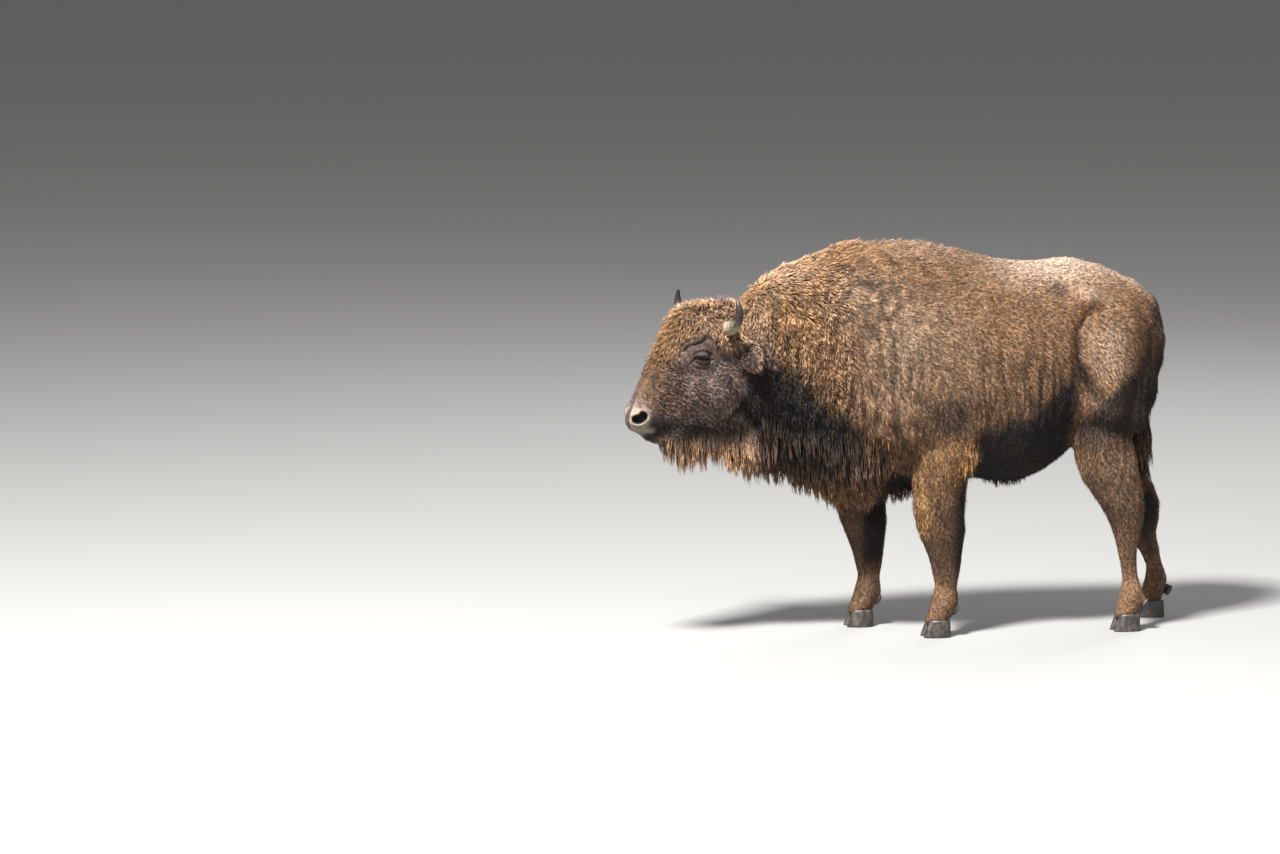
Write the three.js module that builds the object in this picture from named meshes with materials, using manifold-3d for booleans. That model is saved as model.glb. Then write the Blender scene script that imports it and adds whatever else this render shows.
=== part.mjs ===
// A wisent cow standing still, life size, with her head turned a little to her left.
// Millimetres, +Z up. She faces -Y, and +X is her left. The solids reach out to the tips of her coat.
import * as THREE from "three";
import { mergeVertices } from "three/addons/utils/BufferGeometryUtils.js";
import Module from "manifold-3d";

const wasm = await Module();
wasm.setup();

// Driving dimensions.
const GAP = 0.4; // clearance left between pieces that touch
const NECK_CUT = -345; // where the neck leaves the trunk, along Y
const HEAD_PLACE = new THREE.Vector3(38, -600, 1108); // joint of skull and neck
const HEAD_TURN = THREE.MathUtils.degToRad(17.5);
const EYE_RADIUS = 28;
const FOOT_GAP = 27; // half the distance between the two claws of a foot
const HOOF_LENGTH = 104;
const HOOF_HEIGHT = 62;
const HOOF_WIDTH = 44;
const STEP = 226; // how far forward the right forefoot stands of the left one
const BACK = 165; // how far behind the left hock the right one is
const LOW = 44; // and how far below it
const TRAIL = 1.2 * BACK; // how far behind the left hind foot the right one stands

const SIDES = { left: 1, right: -1 };

// Trunk and neck: y, height of the back line, of the widest level and of the belly line, half width,
// and how round the section is above and below the widest level (2 is an ellipse, less is narrower).
const TRUNK = [
  { y: 1042, back: 1170, wide: 1110, belly: 1050, half: 42, over: 2, under: 2 },
  { y: 1028, back: 1242, wide: 1120, belly: 985, half: 88, over: 2, under: 2 },
  { y: 990, back: 1316, wide: 1130, belly: 920, half: 145, over: 2, under: 2 },
  { y: 930, back: 1366, wide: 1125, belly: 860, half: 200, over: 1.9, under: 2 },
  { y: 800, back: 1425, wide: 1100, belly: 770, half: 240, over: 1.85, under: 2 },
  { y: 685, back: 1449, wide: 1050, belly: 690, half: 255, over: 1.85, under: 2 },
  { y: 560, back: 1442, wide: 970, belly: 606, half: 278, over: 1.85, under: 2.2 },
  { y: 440, back: 1450, wide: 930, belly: 574, half: 300, over: 1.8, under: 2.3 },
  { y: 300, back: 1481, wide: 930, belly: 592, half: 300, over: 1.75, under: 2.2 },
  { y: 150, back: 1525, wide: 940, belly: 584, half: 285, over: 1.7, under: 2 },
  { y: 0, back: 1543, wide: 960, belly: 548, half: 262, over: 1.7, under: 1.9 },
  { y: -150, back: 1541, wide: 980, belly: 560, half: 236, over: 1.7, under: 1.9 },
  { y: -300, back: 1503, wide: 1010, belly: 625, half: 208, over: 1.8, under: 1.9 },
  { y: -450, back: 1447, wide: 1050, belly: 720, half: 186, over: 1.9, under: 2 },
  { y: -560, back: 1385, wide: 1080, belly: 790, half: 166, over: 2, under: 2 },
  { y: -640, back: 1300, wide: 1100, belly: 850, half: 130, over: 2, under: 2 },
  { y: -690, back: 1200, wide: 1110, belly: 1000, half: 60, over: 2, under: 2 },
];

// The curtain of long hair below the throat, down to the brisket.
const THROAT_MANE = [
  { y: -672, back: 880, wide: 760, belly: 690, half: 40, over: 2, under: 2 },
  { y: -640, back: 940, wide: 760, belly: 612, half: 80, over: 2, under: 1.6 },
  { y: -540, back: 940, wide: 760, belly: 592, half: 105, over: 2, under: 1.5 },
  { y: -400, back: 900, wide: 720, belly: 562, half: 115, over: 2, under: 1.5 },
  { y: -300, back: 840, wide: 680, belly: 512, half: 115, over: 2, under: 1.6 },
  { y: -200, back: 780, wide: 640, belly: 496, half: 105, over: 2, under: 1.6 },
  { y: -90, back: 740, wide: 620, belly: 515, half: 85, over: 2, under: 1.8 },
  { y: -20, back: 700, wide: 620, belly: 560, half: 45, over: 2, under: 2 },
];

// ---- Forms: functions of a point that are negative inside, in about millimetres from the surface. ----

const at = (x, y, z) => new THREE.Vector3(x, y, z);

function ellipsoid(centre, rx, ry, rz) {
  return (p) => {
    const q = at((p.x - centre.x) / rx, (p.y - centre.y) / ry, (p.z - centre.z) / rz);
    const slope = Math.hypot(q.x / rx, q.y / ry, q.z / rz);
    const reach = q.length();
    return slope < 1e-9 ? -Math.min(rx, ry, rz) : (reach * (reach - 1)) / slope;
  };
}

// A round bar from a to b whose radius changes from ra to rb; broad scales it along X.
function bar(a, b, ra, rb, broad = 1) {
  const line = b.clone().sub(a);
  return (p) => {
    const share = THREE.MathUtils.clamp(p.clone().sub(a).dot(line) / line.lengthSq(), 0, 1);
    const away = p.clone().sub(a.clone().addScaledVector(line, share));
    return Math.hypot(away.x / broad, away.y, away.z) - THREE.MathUtils.lerp(ra, rb, share);
  };
}

function melt(blend, ...forms) {
  return (p) =>
    forms.reduce((nearest, form) => {
      const d = form(p);
      const h = THREE.MathUtils.clamp(0.5 + (0.5 * (d - nearest)) / blend, 0, 1);
      return THREE.MathUtils.lerp(d, nearest, h) - blend * h * (1 - h);
    }, 1e4);
}

// A smooth curve through the stations' values of one key, which never swings past a station.
function runThrough(stations, key) {
  const rows = [...stations].sort((a, b) => a.y - b.y);
  const slopes = rows.slice(1).map((r, i) => (r[key] - rows[i][key]) / (r.y - rows[i].y));
  const tangents = rows.map((_, i) => {
    const before = slopes[i - 1] ?? slopes[0];
    const after = slopes[i] ?? slopes[slopes.length - 1];
    return before * after <= 0 ? 0 : (2 * before * after) / (before + after);
  });
  return (y) => {
    const last = rows.length - 2;
    const i = Math.min(Math.max(rows.findIndex((r) => r.y > y) - 1, 0), last);
    const n = y >= rows[rows.length - 1].y ? last : i;
    const span = rows[n + 1].y - rows[n].y;
    const t = THREE.MathUtils.clamp((y - rows[n].y) / span, 0, 1);
    const [t2, t3] = [t * t, t * t * t];
    return (
      (2 * t3 - 3 * t2 + 1) * rows[n][key] +
      (t3 - 2 * t2 + t) * span * tangents[n] +
      (3 * t2 - 2 * t3) * rows[n + 1][key] +
      (t3 - t2) * span * tangents[n + 1]
    );
  };
}

// A body whose cross-sections follow the stations. turn(y) shifts it sideways.
function lofted(stations, turn = () => 0) {
  const run = Object.fromEntries(
    ["back", "wide", "belly", "half", "over", "under"].map((key) => [key, runThrough(stations, key)]),
  );
  const ys = stations.map((s) => s.y);
  const [first, last] = [Math.min(...ys), Math.max(...ys)];
  return (p) => {
    const past = Math.max(first - p.y, p.y - last, 0);
    const half = run.half(p.y);
    const up = p.z - run.wide(p.y);
    const tall = up > 0 ? run.back(p.y) - run.wide(p.y) : run.wide(p.y) - run.belly(p.y);
    const power = up > 0 ? run.over(p.y) : run.under(p.y);
    const x = Math.abs(p.x - turn(p.y)) / half;
    const reach = (x ** power + Math.abs(up / tall) ** power) ** (1 / power);
    return (reach - 1) * Math.min(half, tall) + past;
  };
}

// ---- Meshes ----

// A closed mesh wrapped round an axis: each vertex walks out from the axis to the surface of the form.
// zero is the direction of the first side, and cap the share of the rings that rounds off each end.
function wrap(form, axisPoints, { sides, rings, zero, cap = 0.14 }) {
  const axis = new THREE.CatmullRomCurve3(axisPoints, false, "centripetal");
  const geometry = new THREE.SphereGeometry(1, sides, rings);
  const place = geometry.getAttribute("position");
  for (let i = 0; i < place.count; i++) {
    const unit = new THREE.Vector3().fromBufferAttribute(place, i);
    const along = Math.acos(THREE.MathUtils.clamp(unit.y, -1, 1)) / Math.PI;
    const around = Math.atan2(unit.z, -unit.x);
    const share = THREE.MathUtils.clamp((along - cap) / (1 - 2 * cap), 0, 1);
    const pastEnd = Math.max(0, along - (1 - cap)) - Math.max(0, cap - along);
    const tilt = ((pastEnd / cap) * Math.PI) / 2;
    const start = axis.getPointAt(share);
    const tangent = axis.getTangentAt(share);
    const side = tangent.clone().cross(zero).normalize();
    const front = side.clone().cross(tangent);
    const direction = front.multiplyScalar(Math.cos(around)).addScaledVector(side, Math.sin(around));
    direction.multiplyScalar(Math.cos(tilt)).addScaledVector(tangent, Math.sin(tilt));
    const reach = walkOut(form, start, direction);
    place.setXYZ(i, ...start.addScaledVector(direction, reach).toArray());
  }
  return geometry;
}

function walkOut(form, start, direction) {
  const STRIDE = 5;
  let [inside, outside] = [0, STRIDE];
  while (outside < 900 && form(start.clone().addScaledVector(direction, outside)) < 0) {
    inside = outside;
    outside += STRIDE;
  }
  for (let i = 0; i < 14; i++) {
    const middle = (inside + outside) / 2;
    if (form(start.clone().addScaledVector(direction, middle)) < 0) inside = middle;
    else outside = middle;
  }
  return inside;
}

function solidOf(geometry) {
  const bare = geometry.clone();
  bare.deleteAttribute("normal");
  bare.deleteAttribute("uv");
  const merged = mergeVertices(bare, 1e-3);
  const corners = Array.from(merged.index.array);
  const triangles = [];
  for (let i = 0; i < corners.length; i += 3) {
    const [a, b, c] = corners.slice(i, i + 3);
    if (a !== b && b !== c && c !== a) triangles.push(a, b, c);
  }
  const build = (verts) =>
    new wasm.Manifold(
      new wasm.Mesh({
        numProp: 3,
        vertProperties: merged.getAttribute("position").array,
        triVerts: new Uint32Array(verts),
      }),
    );
  const made = build(triangles);
  return made.volume() > 0 ? made : build(triangles.reverse());
}

const placed = (geometry, matrix) => solidOf(geometry.clone().applyMatrix4(matrix));

function geometryOf(solid) {
  const mesh = solid.getMesh();
  return new THREE.BufferGeometry()
    .setAttribute("position", new THREE.BufferAttribute(mesh.vertProperties, 3))
    .setIndex(new THREE.BufferAttribute(mesh.triVerts, 1));
}

// The same solid with its skin moved out by the gap.
function grown(solid) {
  const geometry = geometryOf(solid);
  geometry.computeVertexNormals();
  const [place, normal] = [geometry.getAttribute("position"), geometry.getAttribute("normal")];
  for (let i = 0; i < place.count; i++) {
    const out = new THREE.Vector3().fromBufferAttribute(normal, i).multiplyScalar(GAP);
    place.setXYZ(i, ...out.add(new THREE.Vector3().fromBufferAttribute(place, i)).toArray());
  }
  return solidOf(geometry);
}

// What is left of a solid after its neighbours, with the gap round them, are cut away. Crumbs are dropped.
function carve(solid, ...neighbours) {
  const left = neighbours.reduce((rest, n) => rest.subtract(grown(n)), solid);
  return left.decompose().reduce((most, s) => (s.volume() > most.volume() ? s : most));
}

// ---- Trunk and neck ----

const neckTurn = (y) => 40 * THREE.MathUtils.smoothstep(-y, 300, 680);

// How far back the knee is on each side: the right hind leg trails.
const kneeShift = (s) => (s < 0 ? 0.6 * BACK : 0);

function trunkForm() {
  const parts = [lofted(TRUNK, neckTurn)];
  for (const s of Object.values(SIDES)) {
    parts.push(
      ellipsoid(at(s * 178, 40, 1020), 92, 190, 290), // shoulder blade
      bar(at(s * 190, -90, 850), at(s * 190, 190, 790), 100, 92), // upper arm
      ellipsoid(at(s * 204, 744, 1272), 46, 80, 46), // hip bone
      bar(at(s * 142, 850, 1190), at(s * 170, 792 + kneeShift(s), 850), 130, 114), // thigh
      bar(at(s * 112, 970, 1120), at(s * 156, 925 + kneeShift(s), 840), 84, 78), // back of the thigh
    );
  }
  return melt(46, ...parts);
}

const BARREL_AXIS = [
  at(0, 930, 1120),
  at(0, 600, 1080),
  at(0, 200, 1040),
  at(0, -150, 1040),
  at(16, -420, 1060),
  at(40, -600, 1090),
];

function barrel() {
  const options = { sides: 30, rings: 38, zero: at(0, 0, 1), cap: 0.12 };
  return solidOf(wrap(trunkForm(), BARREL_AXIS, options));
}

// ---- Legs ----

// A run of bars through [x, y, z, radius] stations, narrowed along X.
function limb(stations, broad) {
  const joints = stations.map(([x, y, z]) => at(x, y, z));
  return joints.slice(1).map((end, i) => bar(joints[i], end, stations[i][3], stations[i + 1][3], broad));
}

// One foreleg: s is its side, step how far its foot stands forward of the left one's.
function forelegForm(s, step) {
  const stations = [
    [178, 130 - 0.45 * step, 880, 92],
    [186, 150 - 0.6 * step, 740, 118], // elbow
    [182, 132 - 0.9 * step, 630, 112],
    [172, 130 - step, 510, 106], // forearm
    [167, 148 - step, 410, 90],
    [164, 160 - step, 330, 66], // knee
    [162, 164 - step, 270, 54],
    [160, 166 - step, 190, 45], // cannon
  ];
  return melt(
    26,
    ...limb(stations.map(([x, ...rest]) => [s * x, ...rest]), 0.82),
    ellipsoid(at(s * 190, 226 - 0.6 * step, 715), 50, 44, 84), // elbow tuft
    ellipsoid(at(s * 160, 163 - step, 142), 48, 55, 50), // fetlock
    bar(at(s * 160, 151 - step, 110), at(s * 160, 128 - step, 66), 46, 50, 1.04), // pastern
  );
}

const forelegAxis = (s, step) => [
  at(s * 178, 134 - step / 2, 850),
  at(s * 182, 140 - 0.7 * step, 700),
  at(s * 168, 146 - step, 430),
  at(s * 162, 163 - step, 290),
  at(s * 160, 160 - step, 150),
  at(s * 160, 132 - step, 76),
];

// One hind leg, s its side. The right one stands further back, with its hock lower.
function hindlegForm(s) {
  const [knee, hock, foot, low] = s < 0 ? [0.6 * BACK, BACK, TRAIL, LOW] : [0, 0, 0, 0];
  const stations = [
    [158, 820 + knee, 900, 106],
    [174, 780 + knee, 750, 122], // stifle
    [172, 806 + knee, 660, 122],
    [169, 838 + 0.7 * hock, 583 - 0.5 * low, 102], // gaskin
    [166, 876 + hock, 486 - low, 80],
    [165, 890 + hock, 427 - low, 64], // hock
    [164, 890 + hock, 369 - low, 48],
    [163, 893 + foot, 300 - low, 37],
    [163, 906 + foot, 200, 35], // cannon
  ];
  return melt(
    24,
    ...limb(stations.map(([x, ...rest]) => [s * x, ...rest]), 0.72),
    bar(at(s * 166, 925 + hock, 560 - low), at(s * 165, 936 + hock, 470 - low), 26, 30, 0.8), // heel tendon
    ellipsoid(at(s * 163, 914 + foot, 142), 44, 48, 48), // fetlock
    bar(at(s * 163, 906 + foot, 110), at(s * 163, 886 + foot, 66), 43, 47, 1.04), // pastern
  );
}

function hindlegAxis(s) {
  const [knee, hock, foot, low] = s < 0 ? [0.6 * BACK, BACK, TRAIL, LOW] : [0, 0, 0, 0];
  return [
    at(s * 160, 818 + knee, 880),
    at(s * 173, 792 + knee, 730),
    at(s * 167, 874 + hock, 490 - low),
    at(s * 164, 892 + hock, 370 - low),
    at(s * 163, 909 + foot, 180),
    at(s * 163, 890 + foot, 76),
  ];
}

const LEGS = {
  foreleg_left: { s: 1, form: forelegForm(1, 0), axis: forelegAxis(1, 0), toe: 124 },
  foreleg_right: { s: -1, form: forelegForm(-1, STEP), axis: forelegAxis(-1, STEP), toe: 124 - STEP },
  hindleg_left: { s: 1, form: hindlegForm(1), axis: hindlegAxis(1), toe: 886 },
  hindleg_right: { s: -1, form: hindlegForm(-1), axis: hindlegAxis(-1), toe: 886 + TRAIL },
};

// The side outline of one claw, toe at the left, drawn in its length and height.
function clawOutline() {
  const outline = new THREE.Shape();
  outline.moveTo(-0.5 * HOOF_LENGTH, 0);
  outline.lineTo(0.46 * HOOF_LENGTH, 0);
  outline.lineTo(0.5 * HOOF_LENGTH, 0.4 * HOOF_HEIGHT);
  outline.lineTo(0.4 * HOOF_LENGTH, 0.72 * HOOF_HEIGHT);
  outline.lineTo(-0.02 * HOOF_LENGTH, HOOF_HEIGHT);
  outline.lineTo(-0.4 * HOOF_LENGTH, 0.5 * HOOF_HEIGHT);
  outline.closePath();
  return outline;
}

function clawGeometry() {
  const edge = 7;
  const geometry = new THREE.ExtrudeGeometry(clawOutline(), {
    depth: HOOF_WIDTH - 2 * edge,
    bevelThickness: edge,
    bevelSize: edge,
    bevelOffset: -edge,
    bevelSegments: 1,
    curveSegments: 1,
  });
  geometry.translate(0, 0, edge - HOOF_WIDTH / 2);
  // Its length runs along Y with the toe forward, its height along Z and its width along X.
  const turn = new THREE.Matrix4().makeBasis(at(0, 1, 0), at(0, 0, 1), at(1, 0, 0));
  return geometry.applyMatrix4(turn);
}

const dewclawGeometry = () => new THREE.SphereGeometry(1, 6, 4).scale(15, 13, 24);

// ---- Head, in its own frame: origin at the joint with the neck, nose towards -Y ----

function headForm() {
  const parts = [
    ellipsoid(at(0, -150, 62), 128, 150, 138), // skull
    ellipsoid(at(0, -224, 86), 136, 128, 118), // wool on the forehead
    ellipsoid(at(0, -112, 112), 92, 88, 104), // tuft between the horns
    bar(at(0, -306, 30), at(0, -430, -180), 88, 68, 1.05), // bridge of the nose
    ellipsoid(at(0, -456, -242), 68, 74, 62), // muzzle
    bar(at(0, -190, -80), at(0, -415, -232), 112, 62, 0.95), // sides of the face
    bar(at(0, -330, -290), at(0, -430, -306), 48, 30, 1.15), // chin
    bar(at(0, -70, -160), at(0, -330, -270), 88, 60, 0.9), // lower jaw
    ellipsoid(at(0, -30, -40), 118, 110, 170), // throat
  ];
  for (const s of Object.values(SIDES)) {
    parts.push(
      ellipsoid(at(s * 60, -165, -105), 66, 132, 128), // cheek
      ellipsoid(at(s * 84, -250, 8), 40, 60, 54), // rim of the eye socket
      ellipsoid(at(s * 40, -474, -228), 30, 36, 36), // wing of the nostril
    );
  }
  return melt(26, ...parts);
}

const HEAD_AXIS = [
  at(0, -20, -10),
  at(0, -130, -42),
  at(0, -240, -100),
  at(0, -345, -178),
  at(0, -438, -258),
];

function headSolid() {
  const options = { sides: 24, rings: 24, zero: at(0, 0, 1), cap: 0.17 };
  return placed(wrap(headForm(), HEAD_AXIS, options), headMatrix);
}

const headMatrix = new THREE.Matrix4().makeRotationZ(HEAD_TURN).setPosition(HEAD_PLACE);

const eyePlace = (s) => at(s * 97, -254, 1);

function eyeSolid(s) {
  const ball = new THREE.SphereGeometry(EYE_RADIUS, 10, 6).translate(...eyePlace(s).toArray());
  return placed(ball, headMatrix);
}

function nostrilHole(s) {
  const turn = new THREE.Matrix4().makeRotationZ(s * 0.7).setPosition(at(s * 50, -492, -232));
  return placed(new THREE.SphereGeometry(1, 8, 6).scale(12, 22, 13).applyMatrix4(turn), headMatrix);
}

function mouthSlit() {
  const turn = new THREE.Matrix4().makeRotationX(0.5).setPosition(at(0, -470, -312));
  return placed(new THREE.SphereGeometry(1, 14, 6).scale(84, 110, 5).applyMatrix4(turn), headMatrix);
}

// A horn leaves the side of the skull and bends up, forward and in to its tip: place and radius.
const HORN = [
  { x: 96, y: -146, z: 106, radius: 28 },
  { x: 150, y: -154, z: 118, radius: 26.5 },
  { x: 201, y: -164, z: 140, radius: 21.5 },
  { x: 228, y: -169, z: 168, radius: 17 },
  { x: 233, y: -171, z: 200, radius: 12 },
  { x: 221, y: -175, z: 238, radius: 4 },
];

function hornSolid(s) {
  const points = HORN.map(({ x, y, z }) => at(s * x, y, z));
  const form = melt(6, ...points.slice(1).map((p, i) => bar(points[i], p, HORN[i].radius, HORN[i + 1].radius)));
  return placed(wrap(form, points, { sides: 9, rings: 12, zero: at(0, -1, 0), cap: 0.1 }), headMatrix);
}

function earSolid(s) {
  const [root, tip] = [at(s * 112, -84, 44), at(s * 210, -56, -42)];
  const middle = root.clone().lerp(tip, 0.5);
  const form = melt(14, bar(root, middle, 30, 54), bar(middle, tip, 54, 20));
  // The ear is a cupped leaf: thin from front to back.
  const flat = (p) => form(at(p.x, middle.y + (p.y - middle.y) * 1.7, p.z));
  return placed(wrap(flat, [root, middle, tip], { sides: 10, rings: 9, zero: at(0, -1, 0) }), headMatrix);
}

// The beard hangs from the chin and jaws.
const BEARD = [
  { y: -352, back: -280, wide: -320, belly: -350, half: 28, over: 2, under: 2 },
  { y: -315, back: -260, wide: -320, belly: -430, half: 50, over: 2, under: 1.6 },
  { y: -250, back: -230, wide: -310, belly: -440, half: 60, over: 2, under: 1.5 },
  { y: -165, back: -220, wide: -300, belly: -398, half: 66, over: 2, under: 1.6 },
  { y: -100, back: -200, wide: -300, belly: -440, half: 68, over: 2, under: 1.5 },
  { y: -50, back: -200, wide: -310, belly: -474, half: 66, over: 2, under: 1.5 },
  { y: -14, back: -240, wide: -330, belly: -440, half: 34, over: 2, under: 2 },
];

function beardSolid() {
  const axis = [at(0, -322, -335), at(0, -190, -320), at(0, -52, -335)];
  const shape = { sides: 10, rings: 12, zero: at(0, 0, 1), cap: 0.14 };
  return placed(wrap(lofted(BEARD), axis, shape), headMatrix);
}

// ---- Tail ----

const TAIL = [
  { place: at(0, 1016, 1272), radius: 24 },
  { place: at(0, 1050, 1167), radius: 24 },
  { place: at(0, 1055, 1080), radius: 21 },
  { place: at(0, 1030, 922), radius: 20 },
  { place: at(0, 984, 740), radius: 26 },
  { place: at(0, 962, 630), radius: 30 },
  { place: at(0, 950, 520), radius: 9 },
];

function tailSolid() {
  const form = melt(
    20,
    ...TAIL.slice(1).map((end, i) => bar(TAIL[i].place, end.place, TAIL[i].radius, end.radius)),
  );
  const axis = TAIL.map((t) => t.place);
  return solidOf(wrap(form, axis, { sides: 8, rings: 15, zero: at(0, 1, 0), cap: 0.07 }));
}

// ---- Assembly ----

const colours = {
  coat: new THREE.MeshStandardMaterial({ color: 0x7a5638, roughness: 0.9, metalness: 0 }),
  dark_coat: new THREE.MeshStandardMaterial({ color: 0x3a2a20, roughness: 0.9, metalness: 0 }),
  horn: new THREE.MeshStandardMaterial({ color: 0x6d6558, roughness: 0.45, metalness: 0 }),
  hoof: new THREE.MeshStandardMaterial({ color: 0x2b2723, roughness: 0.5, metalness: 0 }),
  eye: new THREE.MeshStandardMaterial({ color: 0x1b100a, roughness: 0.1, metalness: 0 }),
};

const wisent = new THREE.Group();

function add(name, solid, colour) {
  const mesh = new THREE.Mesh(geometryOf(solid), colours[colour]);
  mesh.name = name;
  wisent.add(mesh);
}

const body = barrel();
add("trunk", body.trimByPlane([0, 1, 0], NECK_CUT + GAP / 2), "coat");
add("neck", body.trimByPlane([0, -1, 0], GAP / 2 - NECK_CUT), "coat");
add("tail", carve(tailSolid(), body), "dark_coat");

const head = headSolid();
const eyes = Object.values(SIDES).map(eyeSolid);
const openings = [nostrilHole(1), nostrilHole(-1), mouthSlit()];
const beard = beardSolid();
add("head", carve(head, body, ...eyes, ...openings), "dark_coat");
add("beard", carve(beard, head, body), "dark_coat");

const legs = [];
for (const [name, leg] of Object.entries(LEGS)) {
  const [feet, dewclaws] = [[], []];
  for (const [where, out] of [["inner", -1], ["outer", 1]]) {
    const x = leg.s * (Math.abs(leg.axis[5].x) + out * FOOT_GAP);
    const claw = solidOf(clawGeometry().rotateZ(-leg.s * out * 0.07).translate(x, leg.toe, 0));
    add(`hoof_${name}_${where}`, claw, "hoof");
    feet.push(claw);
    dewclaws.push(solidOf(dewclawGeometry().translate(x - 0.4 * leg.s * out * FOOT_GAP, leg.toe + 76, 112)));
  }
  const shape = { sides: 12, rings: 18, zero: at(0, -1, 0), cap: 0.09 };
  const whole = dewclaws.reduce((a, b) => a.add(b), solidOf(wrap(leg.form, leg.axis, shape)));
  add(name, carve(whole, body, ...feet), "dark_coat");
  legs.push(whole);
}

const maneAxis = [at(0, -600, 740), at(0, -440, 730), at(0, -250, 660), at(0, -90, 620)];
const maneShape = { sides: 14, rings: 13, zero: at(0, 0, 1), cap: 0.16 };
const mane = solidOf(wrap(lofted(THROAT_MANE, neckTurn), maneAxis, maneShape));
add("throat_mane", carve(mane, body, head, beard, ...legs), "dark_coat");

for (const [side, s] of Object.entries(SIDES)) {
  const horn = hornSolid(s);
  add(`eye_${side}`, eyeSolid(s), "eye");
  add(`horn_${side}`, carve(horn, head, body), "horn");
  add(`ear_${side}`, carve(earSolid(s), head, body, horn), "dark_coat");
}

// The origin is on the floor below the middle of the whole animal.
wisent.updateMatrixWorld(true);
const extent = new THREE.Box3().setFromObject(wisent);
const middle = extent.getCenter(new THREE.Vector3());
wisent.position.set(-middle.x, -middle.y, -extent.min.z);
wisent.updateMatrixWorld(true);

export default wisent;
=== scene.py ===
"""A wisent cow standing still, life size: one skin, its coat in tufts and locks, horns, eyes and hooves."""
import functools
import math

import bmesh
import bpy
import numpy as np
from mathutils import Matrix, Vector
from mathutils.bvhtree import BVHTree
from mathutils.kdtree import KDTree


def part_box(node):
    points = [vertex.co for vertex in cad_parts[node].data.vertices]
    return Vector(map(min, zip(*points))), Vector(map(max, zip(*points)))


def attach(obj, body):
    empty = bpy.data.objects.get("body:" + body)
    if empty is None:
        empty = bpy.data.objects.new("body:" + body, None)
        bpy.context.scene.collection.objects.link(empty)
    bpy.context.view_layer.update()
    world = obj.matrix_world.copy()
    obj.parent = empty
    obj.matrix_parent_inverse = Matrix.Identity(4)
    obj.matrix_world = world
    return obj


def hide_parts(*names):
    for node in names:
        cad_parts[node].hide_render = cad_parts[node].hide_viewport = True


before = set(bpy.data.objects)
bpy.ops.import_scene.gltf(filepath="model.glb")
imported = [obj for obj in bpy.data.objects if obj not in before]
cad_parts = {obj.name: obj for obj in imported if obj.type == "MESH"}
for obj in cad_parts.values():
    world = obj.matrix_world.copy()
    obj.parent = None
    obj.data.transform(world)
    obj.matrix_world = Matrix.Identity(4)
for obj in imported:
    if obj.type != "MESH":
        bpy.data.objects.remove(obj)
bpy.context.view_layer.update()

UP = Vector((0, 0, 1))
FLESH = ["trunk", "neck", "head", "ear_left", "ear_right", "tail", "beard", "throat_mane"]
LEGS = ["foreleg_left", "foreleg_right", "hindleg_left", "hindleg_right"]


# ---- Places taken from the solids ----


def middle(node):
    low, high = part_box(node)
    return (low + high) / 2


# The body's own frame: x to her left, y to her tail, z up, with x = 0 in her middle.
_left, _right = middle("hoof_foreleg_left_outer"), middle("hoof_foreleg_right_outer")
ORIGIN = Vector(((_left.x + _right.x) / 2, _left.y - 0.124, 0))

# The head's frame: its origin is the joint with the neck, and its nose points to -y.
EYE_OUT, EYE_ALONG, EYE_UP = 0.097, -0.254, 0.001
_eyes = middle("eye_left"), middle("eye_right")
_across = (_eyes[0] - _eyes[1]).normalized()
_back = UP.cross(_across)
HEAD_TURN = Matrix((_across, _back, UP)).transposed()
HEAD_AT = (_eyes[0] + _eyes[1]) / 2 - _back * EYE_ALONG - UP * EYE_UP


def in_body(points):
    return points - np.array(ORIGIN)


def in_head(points):
    return (points - np.array(HEAD_AT)) @ np.array(HEAD_TURN)


def from_head(points):
    return points @ np.array(HEAD_TURN).T + np.array(HEAD_AT)


# ---- Small sums ----


def ease(start, end, value):
    """0 at start and 1 at end, smooth between, for numbers or arrays."""
    t = np.clip((value - start) / (end - start), 0, 1)
    return t * t * (3 - 2 * t)


def most(*values):
    """The largest of the values, place by place."""
    return functools.reduce(np.maximum, values)


def ball(points, centre, radii):
    """1 at the centre of an ellipsoid, fading to 0 at its surface."""
    reach = np.linalg.norm((points - np.array(centre)) / np.array(radii), axis=1)
    return ease(1, 0, reach)


def full_ball(points, centre, radii, gain):
    """1 through the middle of an ellipsoid; the higher the gain, the narrower the fading edge."""
    return np.clip(ball(points, centre, radii) * gain, 0, 1)


def mirrored(points):
    return np.column_stack((np.abs(points[:, 0]), points[:, 1:]))


def both_frames(points):
    """Places in the body's frame and in the head's, with her right side folded over onto her left."""
    return mirrored(in_body(points)), mirrored(in_head(points))


def unit(vectors):
    return vectors / most(np.linalg.norm(vectors, axis=1), 1e-9)[:, None]


def line_distance(points, line):
    nearest = np.full(len(points), 9.0)
    for start, end in zip(np.array(line[:-1]), np.array(line[1:])):
        share = np.clip((points - start) @ (end - start) / ((end - start) @ (end - start)), 0, 1)
        nearest = np.minimum(nearest, np.linalg.norm(points - start - share[:, None] * (end - start), axis=1))
    return nearest


def hump_of(distance, width):
    return np.exp(-((distance / width) ** 2))


def ripples(points, size, seed):
    """A smooth wandering value from -1 to 1 whose waves are about size metres long."""
    rng = np.random.default_rng(seed)
    waves = rng.normal(size=(9, 3))
    waves *= (rng.uniform(0.7, 1.5, 9) * math.tau / size / np.linalg.norm(waves, axis=1))[:, None]
    return np.sin(points @ waves.T + rng.uniform(0, math.tau, 9)).mean(axis=1) * 2


# ---- Meshes ----


def object_of(name, mesh):
    piece = bpy.data.objects.new(name, mesh)
    bpy.context.scene.collection.objects.link(piece)
    return piece


def read(items, field, width, kind=float):
    """One field of every vertex, edge or corner, as rows of a table."""
    flat = np.empty(len(items) * width, dtype=kind)
    items.foreach_get(field, flat)
    return flat.reshape(-1, width)


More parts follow.
